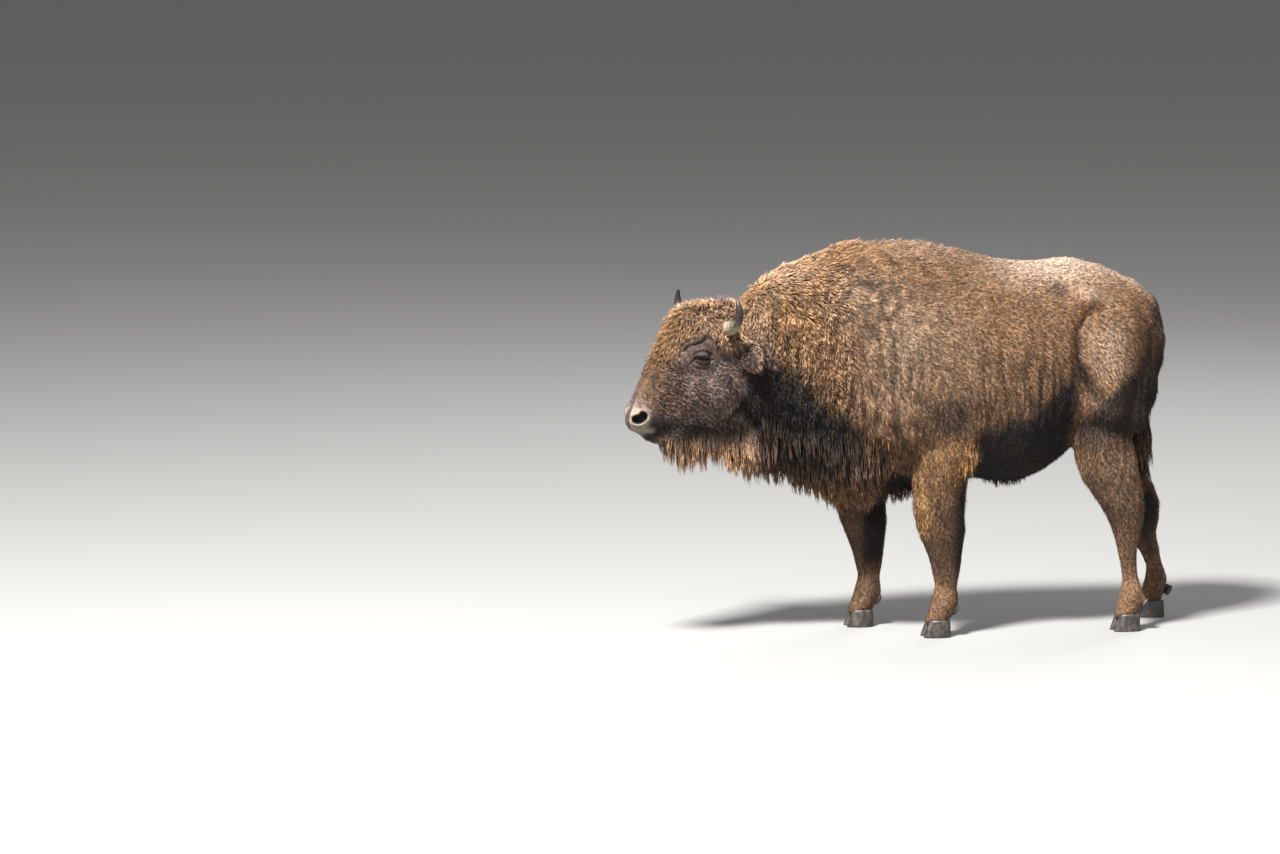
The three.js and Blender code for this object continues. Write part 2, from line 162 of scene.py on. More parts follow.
def spots(mesh):
    return read(mesh.vertices, "co", 3)


def normals_of(mesh):
    return read(mesh.vertices, "normal", 3)


def place(mesh, points):
    mesh.vertices.foreach_set("co", points.ravel())
    mesh.update()


def opened(mesh):
    shape = bmesh.new()
    shape.from_mesh(mesh)
    return shape


def stored(shape, mesh):
    """Writes the shape into the mesh, and gives the mesh back."""
    shape.to_mesh(mesh)
    shape.free()
    return mesh


def relax(mesh, rounds, amount=None, shrink=-0.53):
    """Smooths without shrinking; amount is how much each vertex takes part."""
    a, b = read(mesh.edges, "vertices", 2, int).T
    points = spots(mesh)
    count = len(points)
    near = most(np.bincount(a, minlength=count) + np.bincount(b, minlength=count), 1)
    share = np.ones(count) if amount is None else amount
    for step in [0.5, shrink] * rounds:
        pull = np.empty_like(points)
        for axis in range(3):
            total = np.bincount(a, points[b, axis], count) + np.bincount(b, points[a, axis], count)
            pull[:, axis] = total / near - points[:, axis]
        points += pull * (step * share)[:, None]
    place(mesh, points)


def remeshed(mesh, voxel):
    """One even closed skin round everything in the mesh."""
    piece = object_of("remesh", mesh)
    modifier = piece.modifiers.new("even", "REMESH")
    modifier.mode = "VOXEL"
    modifier.voxel_size = voxel
    made = bpy.data.meshes.new_from_object(piece.evaluated_get(bpy.context.evaluated_depsgraph_get()))
    bpy.data.objects.remove(piece)
    shape = opened(made)
    islands(shape)
    return stored(shape, made)


def islands(shape):
    """Keeps the largest connected part."""
    unseen = set(shape.verts)
    parts = []
    while unseen:
        queue = [unseen.pop()]
        part = set(queue)
        while queue:
            for edge in queue.pop().link_edges:
                for vertex in edge.verts:
                    if vertex in unseen:
                        unseen.discard(vertex)
                        part.add(vertex)
                        queue.append(vertex)
        parts.append(part)
    parts.sort(key=len)
    bmesh.ops.delete(shape, geom=[v for part in parts[:-1] for v in part], context="VERTS")


# ---- How the coat lies: length, lie and lift at any place on her ----


def coat_length(points):
    """The length of the coat in metres."""
    body, head = both_frames(points)
    x, y, z = body.T
    _, hy, hz = head.T
    length = np.full(len(points), 0.023)

    def blend(value, share):
        nonlocal length
        length = length + (value - length) * share

    blend(0.030, ease(0.45, 0.05, y) * ease(0.62, 0.90, z))
    blend(0.038, ease(-0.10, -0.40, y) * ease(0.62, 0.80, z))
    blend(0.034, ball(body, (0, -0.1, 1.55), (0.09, 0.75, 0.10)))
    blend(0.030, ease(0.75, 0.60, z) * ease(0.20, 0.30, y) * ease(0.70, 0.60, y))
    leg = ease(0.74, 0.60, z) * ease(0.05, 0.09, x) * most(ease(0.32, 0.25, y), ease(0.62, 0.70, y))
    blend(0.026, leg)
    blend(0.032, leg * ease(0.40, 0.50, z) * ease(0.50, 0.40, y))
    blend(0.018, ease(0.47, 0.36, z))
    blend(0.014, ease(0.30, 0.20, z))
    front = ease(0.03, -0.04, hy) * ease(-0.44, -0.36, hz)
    blend(0.027, front)
    blend(0.034, front * ball(head, (0, -0.04, -0.16), (0.24, 0.20, 0.24)))
    blend(0.038, front * forehead_share(head))
    blend(0.044, front * full_ball(head, (0, -0.13, 0.20), (0.17, 0.22, 0.17), 2.4))
    blend(0.011, front * orbit_share(head))
    blend(0.017, ease(-0.41, -0.46, hy) * front)
    blend(0.007, full_ball(head, (0, -0.50, -0.244), (0.13, 0.12, 0.12), 2))
    blend(0.030, ear_share(head))
    blend(0.022, ease(0.97, 1.0, y) * ease(0.05, 0.03, x) * ease(0.45, 0.55, z))
    return length


def ear_share(head):
    """1 on the ears, measured on the head with its right side folded over."""
    return full_ball(head, (0.172, -0.068, -0.002), (0.085, 0.060, 0.090), 2.5)


def orbit_share(head):
    """1 round the eye, where the hair is short, sparse and grey."""
    reach = np.hypot(head[:, 1] + 0.262, head[:, 2] - 0.018)
    return ease(0.092, 0.066, reach) * ease(0.06, 0.08, head[:, 0])


def ear_root_share(head):
    """1 under the horn, where long hair hangs out over the root of the ear."""
    return full_ball(head, (0.132, -0.088, 0.066), (0.055, 0.050, 0.055), 2)


def horn_root_share(head):
    """1 round the roots of the horns, where the wool grows out along them."""
    return full_ball(head, (0.088, -0.146, 0.108), (0.065, 0.062, 0.060), 1.8)


def forehead_share(head):
    """1 on the woolly forehead, above the eyes and down the bridge of the nose a little."""
    hx, hy, hz = head.T
    return ease(-0.01, 0.07, hz + 0.30 * (0.11 - hx) - 0.1 * (hy + 0.25))


def coat_lie(points):
    """The direction the coat lies in, before it is laid on the skin."""
    body, head = in_body(points), in_head(points)
    _, y, z = body.T
    lie = np.tile((0.0, 1.0, -0.30), (len(points), 1))

    def blend(direction, share):
        nonlocal lie
        lie = lie + (np.asarray(direction) - lie) * np.asarray(share)[:, None]

    blend((0, 0.70, -0.7), ease(1.35, 1.10, z))
    blend((0, 0.20, -1.0), ease(1.10, 0.90, z))
    blend((0, 0.10, -1.0), ease(-0.10, -0.40, y) * ease(1.45, 1.20, z))
    blend((0, 0.05, -1.0), ease(0.90, 1.02, y) * ease(1.38, 1.28, z))
    blend((0, 0.10, -1.0), ease(0.74, 0.62, z))
    side = np.tanh(head[:, 0] / 0.035)
    folded = mirrored(head)
    front = ease(0.03, -0.04, head[:, 1]) * ease(-0.44, -0.36, head[:, 2])

    def way(out, back, up):
        """A direction given in the head's frame, the same on both sides of the face."""
        given = np.column_stack((side * out, np.full(len(side), back), np.full(len(side), up)))
        return given @ np.array(HEAD_TURN).T

    # On the face the coat runs back from the muzzle and down the cheek; on the forehead it falls forward.
    blend(way(0.30, 0.8, -0.55), front)
    blend(way(0.05, 0.30, -1.0), front * ease(-0.24, -0.12, head[:, 1]) * ease(0.0, -0.08, head[:, 2]))
    blend(way(0.30, -0.60, -0.75), front * forehead_share(folded))
    blend(way(0.7, 0.10, -0.9), most(ear_share(folded), ear_root_share(folded)))
    blend(way(1, -0.25, 0.25), horn_root_share(folded))
    return unit(lie)


def coat_lift(points):
    """How far the tips lift off the skin: the sine of the angle."""
    body, head = both_frames(points)
    y, z = body[:, 1], body[:, 2]
    lift = np.full(len(points), 0.34)
    lift += 0.10 * ease(0.45, 0.10, y) * ease(0.62, 0.90, z)
    lift += 0.25 * ball(body, (0, -0.1, 1.55), (0.10, 0.75, 0.12))
    lift -= 0.08 * ease(0.60, 0.40, z)
    front = ease(0.03, -0.04, head[:, 1])
    lift += (0.40 - lift) * front
    lift += 0.20 * front * forehead_share(head)
    lift += 0.30 * full_ball(head, (0, -0.14, 0.19), (0.17, 0.19, 0.16), 2)
    return lift


def coat_depth(points):
    """How far the skin lies below the tips of the coat."""
    body, head = both_frames(points)
    depth = 0.86 * coat_length(points) * coat_lift(points)
    depth *= 1 - 0.35 * forehead_share(head) * ease(0.03, -0.04, head[:, 1])
    depth += (0.003 - depth) * ease(0.20, 0.12, body[:, 2])
    depth += (0.003 - depth) * ear_share(head)
    tuft = ease(0.80, 0.72, body[:, 2]) * ease(0.06, 0.03, body[:, 0]) * ease(0.88, 0.93, body[:, 1])
    depth += (0.012 - depth) * tuft
    return depth


# ---- Skin ----


# How far each flesh solid is grown, so that they run into each other.
GROWN = 0.0012
SKIN_GRAIN, FINER_GRAIN, CHART_GRAIN = 0.011, 0.0107, 0.017  # the sides of the voxels
# Long hair hangs below these, so only a low fold of skin is kept: how far it is drawn up, and its width.
HANGING = {"throat_mane": (0.075, 0.72), "beard": (0.060, 0.72)}


def flesh_mesh():
    """Merged copies of the flesh solids, grown by a hair so that they run into each other."""
    whole = bmesh.new()
    for name in FLESH + LEGS:
        part = opened(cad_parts[name].data)
        bmesh.ops.remove_doubles(part, verts=part.verts, dist=1e-5)
        part.normal_update()
        for vertex in part.verts:
            vertex.co += vertex.normal * GROWN
        if name in HANGING:
            drawn_up, width = HANGING[name]
            low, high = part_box(name)
            for vertex in part.verts:
                vertex.co.x += ((low.x + high.x) / 2 - vertex.co.x) * (1 - width)
                vertex.co.z += drawn_up * min(1, 1.6 * (high.z - vertex.co.z) / (high.z - low.z))
        whole.from_mesh(stored(part, bpy.data.meshes.new("part")))
    return stored(whole, bpy.data.meshes.new("flesh"))


def finer(mesh, chosen, rounds=1):
    """Divides the faces whose middles chosen() picks."""
    for _ in range(rounds):
        shape = opened(mesh)
        shape.faces.ensure_lookup_table()
        middles = np.array([face.calc_center_median() for face in shape.faces])
        edges = {e for face, yes in zip(shape.faces, chosen(middles)) if yes for e in face.edges}
        bmesh.ops.subdivide_edges(shape, edges=list(edges), cuts=1, use_grid_fill=True, smooth=0.35)
        stored(shape, mesh)


def seams_share(points):
    """1 where legs, neck and head run into the trunk, where the skin is smoothed most."""
    body, head = both_frames(points)
    legs = most(
        ball(body, (0.19, 0.06, 0.74), (0.22, 0.42, 0.20)), ball(body, (0.19, 0.92, 0.78), (0.24, 0.36, 0.24))
    )
    return np.clip(2.2 * most(legs, ball(head, (0, 0.03, 0), (0.4, 0.13, 0.45)) * 0.8), 0, 1)


def trunk_share(points):
    """1 on the barrel of the body, 0 on the head, legs and tail."""
    body, head = both_frames(points)
    tail = ease(0.06, 0.04, body[:, 0]) * ease(0.98, 1.0, body[:, 1]) * ease(1.22, 1.15, body[:, 2])
    return ease(0.72, 0.82, body[:, 2]) * ease(0.02, 0.10, head[:, 1]) * (1 - tail)


HIP = (0.22, 0.70, 1.32)
# Down the front of the thigh: y and z.
THIGH_EDGE = [(0.700, 1.235), (0.670, 1.18), (0.666, 1.07), (0.694, 1.01), (0.742, 0.92)]


def body_forms(points):
    """Bone and muscle that show through the coat, as metres outward."""
    body = mirrored(in_body(points))
    x, y, z = body.T
    flank = body[:, 1:]
    off = ease(0.05, 0.12, x)
    form = 0.030 * ball(body, HIP, (0.13, 0.095, 0.060))
    form -= 0.012 * ball(body, (0.2, 0.57, 1.33), (0.14, 0.13, 0.085))
    edge = line_distance(flank, THIGH_EDGE)
    form -= 0.024 * hump_of(edge, 0.021) * off
    form += 0.008 * ball(body, (0.24, 0.77, 1.05), (0.14, 0.13, 0.26))
    # The shoulder blade, the elbow's hollow and the last ribs.
    form += 0.010 * ball(body, (0.29, 0.02, 1.12), (0.14, 0.14, 0.26))
    form -= 0.010 * ball(body, (0.26, 0.20, 0.98), (0.14, 0.07, 0.26))
    form += 0.010 * ball(body, (0.06, 0.66, 1.47), (0.10, 0.16, 0.07))
    form += 0.032 * ball(body, (0, 0.985, 1.19), (0.24, 0.13, 0.27))
    ribs = 0.0030 * np.cos(math.tau * (y - 0.10 * (z - 0.9)) / 0.060)
    form += ribs * ease(0.22, 0.32, y) * ease(0.62, 0.52, y) * ease(0.84, 0.92, z) * ease(1.22, 1.05, z)
    return form


def build_skin():
    mesh = remeshed(flesh_mesh(), SKIN_GRAIN)
    relax(mesh, 4)
    relax(mesh, 60, trunk_share(spots(mesh)), shrink=-0.515)
    relax(mesh, 24, seams_share(spots(mesh)), shrink=-0.51)
    points = spots(mesh)
    place(mesh, points + normals_of(mesh) * body_forms(points)[:, None])
    points = spots(mesh)
    points -= normals_of(mesh) * coat_depth(points)[:, None]
    along_nose = in_head(points)[:, 1]
    points[:, 2] += 0.016 * ease(-0.36, -0.48, along_nose)
    place(mesh, points)
    relax(mesh, 2)
    mesh = remeshed(mesh, FINER_GRAIN)
    relax(mesh, 3)
    relax(mesh, 10, seams_share(spots(mesh)), shrink=-0.51)
    return mesh


# ---- The head's own forms ----

EYE_AT = (EYE_OUT, EYE_ALONG, EYE_UP)
EYE_RADIUS = 0.028
SLIT_LENGTH, SLIT_HEIGHT = 0.056, 0.020
BEHIND_EYE, ROUND_EYE = -0.03, 0.12  # how far the eye's folds reach inward and round it


def axes_of(outward, along):
    """Three square directions: outward, along the surface to the back, and up over it."""
    outward = np.array(outward) / np.linalg.norm(outward)
    along = np.array(along) - outward * np.dot(along, outward)
    along /= np.linalg.norm(along)
    return outward, along, np.cross(along, outward) * np.sign(np.cross(along, outward)[2])


EYE_AXES = axes_of((0.94, -0.33, 0.10), (0.2, 1, -0.02))
NOSTRIL_AT = (0.050, -0.500, -0.216)
NOSTRIL_AXES = axes_of((0.80, -0.57, 0.18), (0.57, 0.80, 0.22))


def seen_from(head, centre, axes):
    """Places measured outward, along and up from a centre."""
    return ((head - np.array(centre)) @ np.array(axes).T).T


def slit_middle(along):
    """The height of the open eye's middle line, which falls a little to the back."""
    return -0.001 - 0.09 * along


def slit(along):
    """Half the height of the open eye at a place along it."""
    share = np.clip(np.abs(along) / (SLIT_LENGTH / 2), 0, 1)
    return SLIT_HEIGHT / 2 * (1 - share**2) ** 0.7


def nostril_edge(along, up):
    """How far outside the nostril a place is: an oval, flat above in front and rising to a lobe behind."""
    oval = np.hypot(along / 0.0325, (up - 0.10 * along + 0.001) / 0.0235) - 1
    above = up - np.interp(along, [-0.03, 0.000, 0.014, 0.03], [0.009, 0.013, 0.023, 0.026])
    return most(oval * 0.0235, above * 0.9)


MOUTH = [
    (0, -0.522, -0.274), (0.036, -0.506, -0.278), (0.058, -0.465, -0.281),
    (0.068, -0.410, -0.284), (0.074, -0.365, -0.282),
]


# The lines round the eye, each with its width and depth; places run back along the head and up it.
EYE_LINES = [
    (
        [(-0.07, 0.03), (-0.062, 0.044), (-0.046, 0.052), (-0.028, 0.055), (-0.01, 0.062), (0.014, 0.08)],
        0.006, 0.0070,
    ),
    ([(0.010, 0.086), (0.026, 0.084), (0.042, 0.074), (0.054, 0.060), (0.060, 0.040)], 0.006, 0.0060),
    ([(-0.036, 0.012), (-0.020, 0.0235), (0.0, 0.028), (0.018, 0.0235), (0.034, 0.008)], 0.0040, 0.0040),
    ([(-0.036, -0.01), (-0.018, -0.0195), (0.004, -0.0225), (0.026, -0.018), (0.04, -0.007)], 0.004, 0.0036),
    ([(-0.044, -0.018), (-0.022, -0.037), (0.004, -0.042), (0.030, -0.035), (0.046, -0.018)], 0.0050, 0.0034),
    ([(-0.026, -0.002), (-0.040, -0.009), (-0.056, -0.028)], 0.0045, 0.0044),
    ([(0.025, -0.002), (0.041, -0.007)], 0.0050, 0.0044),
]


def sculpt_head(mesh):
    """Lids, brow, nostrils, mouth and ear cups, pushed into the smooth head."""
    points = spots(mesh)
    head = in_head(points)
    side = np.where(head[:, :1] < 0, [[-1, 1, 1]], [[1, 1, 1]])
    head = head * side
    near = head[:, 1] < 0.1
    normal = (normals_of(mesh) @ np.array(HEAD_TURN)) * side

    # The eye: lids that hug the ball, an open slit between them, a brow fold over and bags below.
    out, a, u = seen_from(head, EYE_AT, EYE_AXES)
    reach = np.hypot(a, u)
    facing = near & (out > BEHIND_EYE) & (reach < ROUND_EYE)
    # The upper lid is thick and overhangs; the lower one hugs the ball.
    thick = 0.0026 + 0.0030 * ease(0.004, 0.012, u)
    lid = np.sqrt(most((EYE_RADIUS + thick) ** 2 - reach**2, 0))
    gap = np.abs(u - slit_middle(a)) - slit(a)
    inside = np.sqrt(most((EYE_RADIUS - 0.006) ** 2 - reach**2, 0))
    share = ease(0.0305, 0.024, reach) * facing
    new_out = most(out, lid * (reach < 0.029))
    new_out = np.where(gap < 0, inside, new_out)
    out_move = (new_out - out) * share
    on_face = np.column_stack((a, u))
    brow = line_distance(on_face, [(-0.064, 0.052), (-0.030, 0.066), (0.004, 0.082)])
    out_move += facing * 0.0060 * hump_of(brow, 0.014)
    bag = line_distance(on_face, [(-0.030, -0.026), (0.002, -0.032), (0.032, -0.027)])
    out_move += facing * 0.0030 * hump_of(bag, 0.006)
    for line, width, depth in EYE_LINES:
        out_move -= facing * depth * hump_of(line_distance(on_face, line), width)
    head += out_move[:, None] * EYE_AXES[0]

    # The nostril: a comma-shaped pit with a raised wing round it.
    n_out, n_a, n_u = seen_from(head, NOSTRIL_AT, NOSTRIL_AXES)
    edge = nostril_edge(n_a, n_u)
    by_nose = near & (np.abs(n_out) < 0.045) & (edge < 0.05)
    pit = 0.026 * ease(0.001, -0.008, edge) * by_nose
    wing = 0.0032 * hump_of(edge - 0.007, 0.006) * by_nose
    head += (wing - pit)[:, None] * NOSTRIL_AXES[0]

    # The mouth, closed, with a full upper lip.
    to_mouth = line_distance(head, MOUTH)
    head -= normal * (0.0075 * hump_of(to_mouth, 0.0045) * near)[:, None]
    head += normal * (0.0030 * hump_of(to_mouth - 0.014, 0.006) * near)[:, None]
    # A shallow groove parts the nose pad in the middle.
    pad = near & (head[:, 1] < -0.50)
    head[:, 1] += 0.004 * hump_of(head[:, 0], 0.004) * pad * ease(-0.185, -0.215, head[:, 2])

    # The ear is hollow on its front side.
    root, tip = np.array((0.120, -0.082, 0.038)), np.array((0.200, -0.060, -0.034))
    run = (head - root) @ (tip - root) / ((tip - root) @ (tip - root))
    from_axis = np.linalg.norm(head - root - run[:, None] * (tip - root), axis=1)
    cup = ease(0.05, 0.25, run) * ease(0.95, 0.7, run) * ease(0.024, 0.008, from_axis) * (normal[:, 1] < -0.2)
    head[:, 1] += 0.011 * cup * near
    place(mesh, from_head(head * side))


def near_face(points):
    head = mirrored(in_head(points))
    return (head[:, 1] < -0.02) & (head[:, 2] > -0.36) & (head[:, 2] < 0.14) & (head[:, 0] < 0.23)


def near_features(points):
    head = mirrored(in_head(points))
    eye = np.linalg.norm(head - np.array((0.118, -0.262, 0.010)), axis=1) < 0.060
    nose = np.linalg.norm(head - np.array((0.050, -0.503, -0.218)), axis=1) < 0.046
    mouth = (line_distance(head, MOUTH) < 0.020) & (head[:, 1] < -0.3)
    return eye | nose | mouth


def folds(points):
    """Ridges in the wool: down the neck, shoulder and flank, along the back; from -1 to 1."""
    z = in_body(points)[:, 2]
    down = ripples(points * (1.0, 1.0, 0.30), 0.040, 3)
    along = ripples(points * (1.0, 0.45, 1.0), 0.045, 4)
    return along + (down - along) * ease(1.45, 1.25, z)


def furrows(points):
    """1 in the middle of the thin partings that run down the wool of the neck and the flank."""
    body, head = both_frames(points)
    y, z = body[:, 1], body[:, 2]
    neck = hump_of(ripples(points * (1.0, 1.0, 0.16), 0.060, 5), 0.26)
    flank = hump_of(ripples(points * (1.0, 1.0, 0.09), 0.031, 6), 0.32)
    on_neck = ease(0.16, -0.12, y) * ease(1.48, 1.30, z) * ease(0.55, 0.75, z) * ease(0.0, 0.08, head[:, 1])
    on_flank = ease(0.15, 0.30, y) * ease(0.70, 0.60, y) * ease(1.16, 0.98, z) * ease(0.70, 0.80, z)
    return most(neck * on_neck, flank * on_flank)


def folds_depth(points):
    body, head = both_frames(points)
    y, z = body[:, 1], body[:, 2]
    depth = 0.0025 + 0.0045 * ease(0.30, -0.05, y)
    depth *= ease(0.35, 0.60, z) * ease(-0.02, 0.05, head[:, 1])
    return depth


def finish_skin():
    mesh = build_skin()
    points = spots(mesh)
    wrinkled = folds(points) * folds_depth(points) - furrows(points) * 0.0045
    place(mesh, points + normals_of(mesh) * wrinkled[:, None])
    finer(mesh, near_face)
    finer(mesh, near_features)
    relax(mesh, 2, near_face(spots(mesh)).astype(float))
    sculpt_head(mesh)
    relax(mesh, 1, near_features(spots(mesh)) * 0.5)
    shape = opened(mesh)
    bmesh.ops.recalc_face_normals(shape, faces=shape.faces)
    return stored(shape, mesh)


# ---- Markings with painted shade and painted light, the same for skin and coat ----


def markings(points):
    """Shares of the coat's colours at each place: dark, golden, pale and grey-brown of the face; dark also
    carries painted shade, and pale painted light.
    """
    body, head = both_frames(points)
    x, y, z = body.T
    hx, hy, hz = head.T
    wander = ripples(points, 0.16, 11) * 0.022 + ripples(points, 0.05, 13) * 0.012
    level_at = z + wander
    # The belly and lower flank, rising towards the thigh, and the legs: darker hair, with painted shade under
    # the body.
    flank_line = 0.80 + 0.30 * (y - 0.20) + 0.75 * most(0, y - 0.49)
    crease = line_distance(body[:, 1:], THIGH_EDGE)
    spot = ease(1.2, 0.6, np.hypot((y - 0.606) / 0.040, (z - 1.335) / 0.036)) * ease(0.03, 0.06, x)
    # The thigh is light in front, and dark behind a slanting line: painted shade on the back of the thigh,
    # over darker hair.
    edge = np.interp(z, [0.80, 0.92, 1.01, 1.06, 1.18, 1.30], [0.62, 0.742, 0.857, 0.893, 0.935, 1.02])
    behind = ease(-0.025, 0.035, y - edge + wander) * ease(0.64, 0.70, y)
    behind *= 0.92 - 0.22 * ease(0.98, 1.16, z)
    # Painted shade over darker hair: under the belly, on the flank's fold and lower flank, in the crease in
    # front of the thigh, on the back of the thigh and between the forelegs.
    dark = most(
        0.98 * ease(0.05, -0.05, level_at - flank_line) * ease(0.10, 0.22, y) * ease(0.70, 0.62, y),
        0.45 * ball(body, (0.26, 0.60, 0.93), (0.14, 0.10, 0.16)),
        0.80 * hump_of(crease, 0.016) * ease(1.26, 1.14, z) * ease(0.05, 0.12, x),
        0.50 * spot,
        0.26 * ball(body, (0.28, 0.44, 0.92), (0.20, 0.26, 0.13)),
        behind * (0.25 + 0.75 * ease(0.68, 0.80, z)),
        0.45 * ease(0.62, 0.50, level_at),
        0.62 * ease(0.50, 0.36, level_at) * ease(0.4, 0.3, y),
        ease(0.165, 0.12, x) * ease(0.80, 0.70, z) * ease(-0.15, -0.08, y),
    )
    # Hocks and pasterns are lighter: paler hair, partly painted light.
    dark *= 1 - 0.45 * ball(body, (0.20, 0.90, 0.62), (0.12, 0.10, 0.20))
    dark *= 1 - 0.40 * ease(0.30, 0.20, z)
    # Throat and lower neck, the hollow behind the jaw and the underside of the jaw: dark hair, with painted
    # shadow under the jaw and the ear.
    throat = ease(0.10, -0.08, level_at - (0.60 - y)) * ease(0.04, -0.12, y)
    throat *= (1 - 0.45 * ease(0.74, 0.60, z)) * ease(-0.05, 0.10, hy + 1.5 * wander)
    cheek_end = np.interp(hz, [-0.262, -0.207, -0.126, -0.050], [-0.176, -0.108, -0.067, -0.074])
    hollow = ease(-0.012, 0.014, hy - cheek_end) * ease(0.13, 0.03, hy) * ease(0.03, 0.07, hx)
    jaw = ease(-0.20, -0.27, hz + 0.12 * (hy + 0.30)) * ease(0.03, -0.02, hy) * ease(-0.52, -0.48, hy)
    dark = most(
        dark,
        throat,
        full_ball(head, (0.12, 0.04, -0.20), (0.16, 0.12, 0.24), 2.4),
        hollow * ease(0.02, -0.05, hz) * ease(-0.42, -0.30, hz),
        0.9 * jaw,
    )
    beard = ease(-0.275, -0.315, hz) * ease(0.09, -0.06, hy + 1.5 * wander) * ease(-0.45, -0.40, hy)
    dark *= 1 - 0.76 * beard
    # The elbow, arm and the fringe down the foreleg are golden; the fold over the elbow is dark.
    elbow = ball(body, (0.22, 0.215, 0.740), (0.13, 0.09, 0.13))
    upper_arm = ball(body, (0.26, 0.13, 0.68), (0.14, 0.16, 0.22))
    fringe = ball(body, (0.21, 0.06, 0.52), (0.07, 0.07, 0.20))
    arm = 1.6 * elbow + 0.45 * upper_arm + 1.1 * fringe
    gold = most(
        0.85 * ball(head, (0, -0.05, 0.25), (0.20, 0.17, 0.14)) * 1.4,
        0.55 * ease(-0.18, -0.36, y) * ease(1.10, 1.32, z) * ease(0.0, 0.05, hy),
        0.30 * ease(0.25, -0.10, y) * ease(1.00, 1.25, z),
        np.minimum(arm, 0.75),
    )
    gold = most(np.clip(gold, 0, 1), 0.35 * beard)
    dark *= 1 - 0.85 * np.clip(1.8 * elbow + 0.9 * upper_arm + 1.6 * fringe, 0, 1)
    over_elbow = full_ball(body, (0.27, 0.145, 0.865), (0.14, 0.15, 0.135), 1.5)
    dark = most(dark, 0.72 * over_elbow)
    gold = gold * (1 - 0.8 * over_elbow)
    # The back, rump and thigh are paler, and the shoulder, the hump, the top of the neck and the gaskin less
    # so: partly bleached hair, partly painted light where the light falls from above.
    shoulder = ball(body, (0.28, 0.0, 1.16), (0.24, 0.38, 0.42))
    by_ear = most(ear_share(head), ear_root_share(head))
    pale = most(
        0.95 * ease(1.26, 1.44, z + 0.06 * ripples(points, 0.3, 12)) * ease(0.2, 0.55, y),
        0.30 * ease(1.40, 1.52, z) * ease(-0.3, 0.2, y),
        0.45 * ball(body, (0.26, 0.79, 1.10), (0.20, 0.13, 0.20)),
        0.30 * ease(-0.20, -0.45, y) * ease(1.28, 1.42, z) * ease(0.0, 0.06, hy),
        0.40 * shoulder,
        0.34 * ball(body, (0.20, -0.16, 1.32), (0.30, 0.30, 0.20)),
        0.30 * ball(body, (0.20, 0.83, 0.62), (0.14, 0.18, 0.20)),
        0.46 * by_ear,
        0.06 * beard,
    )
    # The head: painted shadow round the ears and in their hollow fronts, a grey-brown face, a darker and
    # redder bridge of the nose.
    ear_shadow = full_ball(head, (0.165, -0.062, -0.010), (0.13, 0.085, 0.135), 2)
    ear_hollow_shade = ease(-0.012, -0.028, hy + 0.076 - 0.2 * (hx - 0.12)) * ear_share(head)
    front = ease(0.06, -0.02, hy)
    nose_bridge = ease(0.080, 0.045, hx) * ease(-0.20, -0.25, hy) * ease(-0.50, -0.45, hy)
    nose_bridge *= ease(-0.215, -0.175, hz)
    face = front * (1 - 0.85 * forehead_share(head)) * (1 - 0.95 * nose_bridge) * (1 - 0.85 * beard)
    face = most(face, 0.9 * orbit_share(head))
    face *= 1 - 0.5 * by_ear
    muzzle = ease(-0.36, -0.42, hy)
    dark = most(
        dark,
        0.90 * ear_shadow * (1 - by_ear) * ease(0.12, 0.06, hz),
        0.80 * ear_hollow_shade,
        0.62 * nose_bridge * (1 - 0.6 * forehead_share(head)),
        0.06 * muzzle,
    )
    gold = most(gold, 0.45 * shoulder, 0.50 * nose_bridge)
    pale = most(
        pale,
        0.16 * muzzle * (1 - nose_bridge),
        0.22 * front * forehead_share(head) * ease(-0.34, -0.22, hy) * ease(0.22, 0.14, hz),
    )
    return np.clip(np.column_stack((dark, gold * (1 - face), pale, face)), 0, 1)


def bare_skin(points):
    """Shares of the nose pad, of the pale rim of the muzzle with a painted highlight along the lower lid, of
    the bare lids and of the nostril's hole, painted dark as shade.
    """
    head = mirrored(in_head(points))
    hx, hy, hz = head.T
    out, a, u = seen_from(head, EYE_AT, EYE_AXES)
    wrinkle = 0.10 * ripples(points, 0.03, 18)
    lids = ease(1.12, 0.72, np.hypot((a + 0.010) / 0.060, (u - 0.008) / 0.058) + wrinkle) * (out > BEHIND_EYE)
    _, n_a, n_u = seen_from(head, NOSTRIL_AT, NOSTRIL_AXES)
    edge = nostril_edge(n_a, n_u)
    front = ease(-0.45, -0.475, hy)
    pad = ease(0.022, 0.013, hx + 0.15 * np.abs(hz + 0.214)) * ease(-0.485, -0.50, hy)
    pad *= ease(-0.159, -0.179, hz)
    hole = ease(0.003, -0.002, edge) * (hy < -0.40)
    wide = 0.013 + 0.020 * ease(0.012, -0.012, n_a) + 0.020 * ease(0.004, -0.016, n_u)
    rim = ease(0.006, -0.006, edge - wide + 0.006 * ripples(points, 0.03, 17)) * front
    rim *= 0.80 + 0.20 * ripples(points, 0.020, 19)
    lip = ease(0.030, 0.016, line_distance(head, MOUTH)) * ease(-0.41, -0.44, hy)
    rim = most(rim, lip) * (1 - pad)
    # A painted highlight where the edge of the lower lid catches the light.
    on_lids = u - slit_middle(a)
    rim = most(rim, 0.70 * hump_of(on_lids + 0.0150, 0.0030) * ease(0.036, 0.022, np.abs(a + 0.004)))
    line = ease(0.007, 0.003, line_distance(head, MOUTH)) * ease(-0.30, -0.34, hy)
    pad = most(pad, line)
    return np.clip(np.column_stack((pad * (1 - hole), rim, lids, hole)), 0, 1)


def bareness(points):
    pad, _, lids, hole = bare_skin(points).T
    _, a, u = seen_from(mirrored(in_head(points)), EYE_AT, EYE_AXES)
    by_lids = lids * ease(0.046, 0.030, np.hypot(a, u - 0.004))
    return np.clip(most(pad, 0.40 * lids + 0.60 * by_lids, hole), 0, 1)


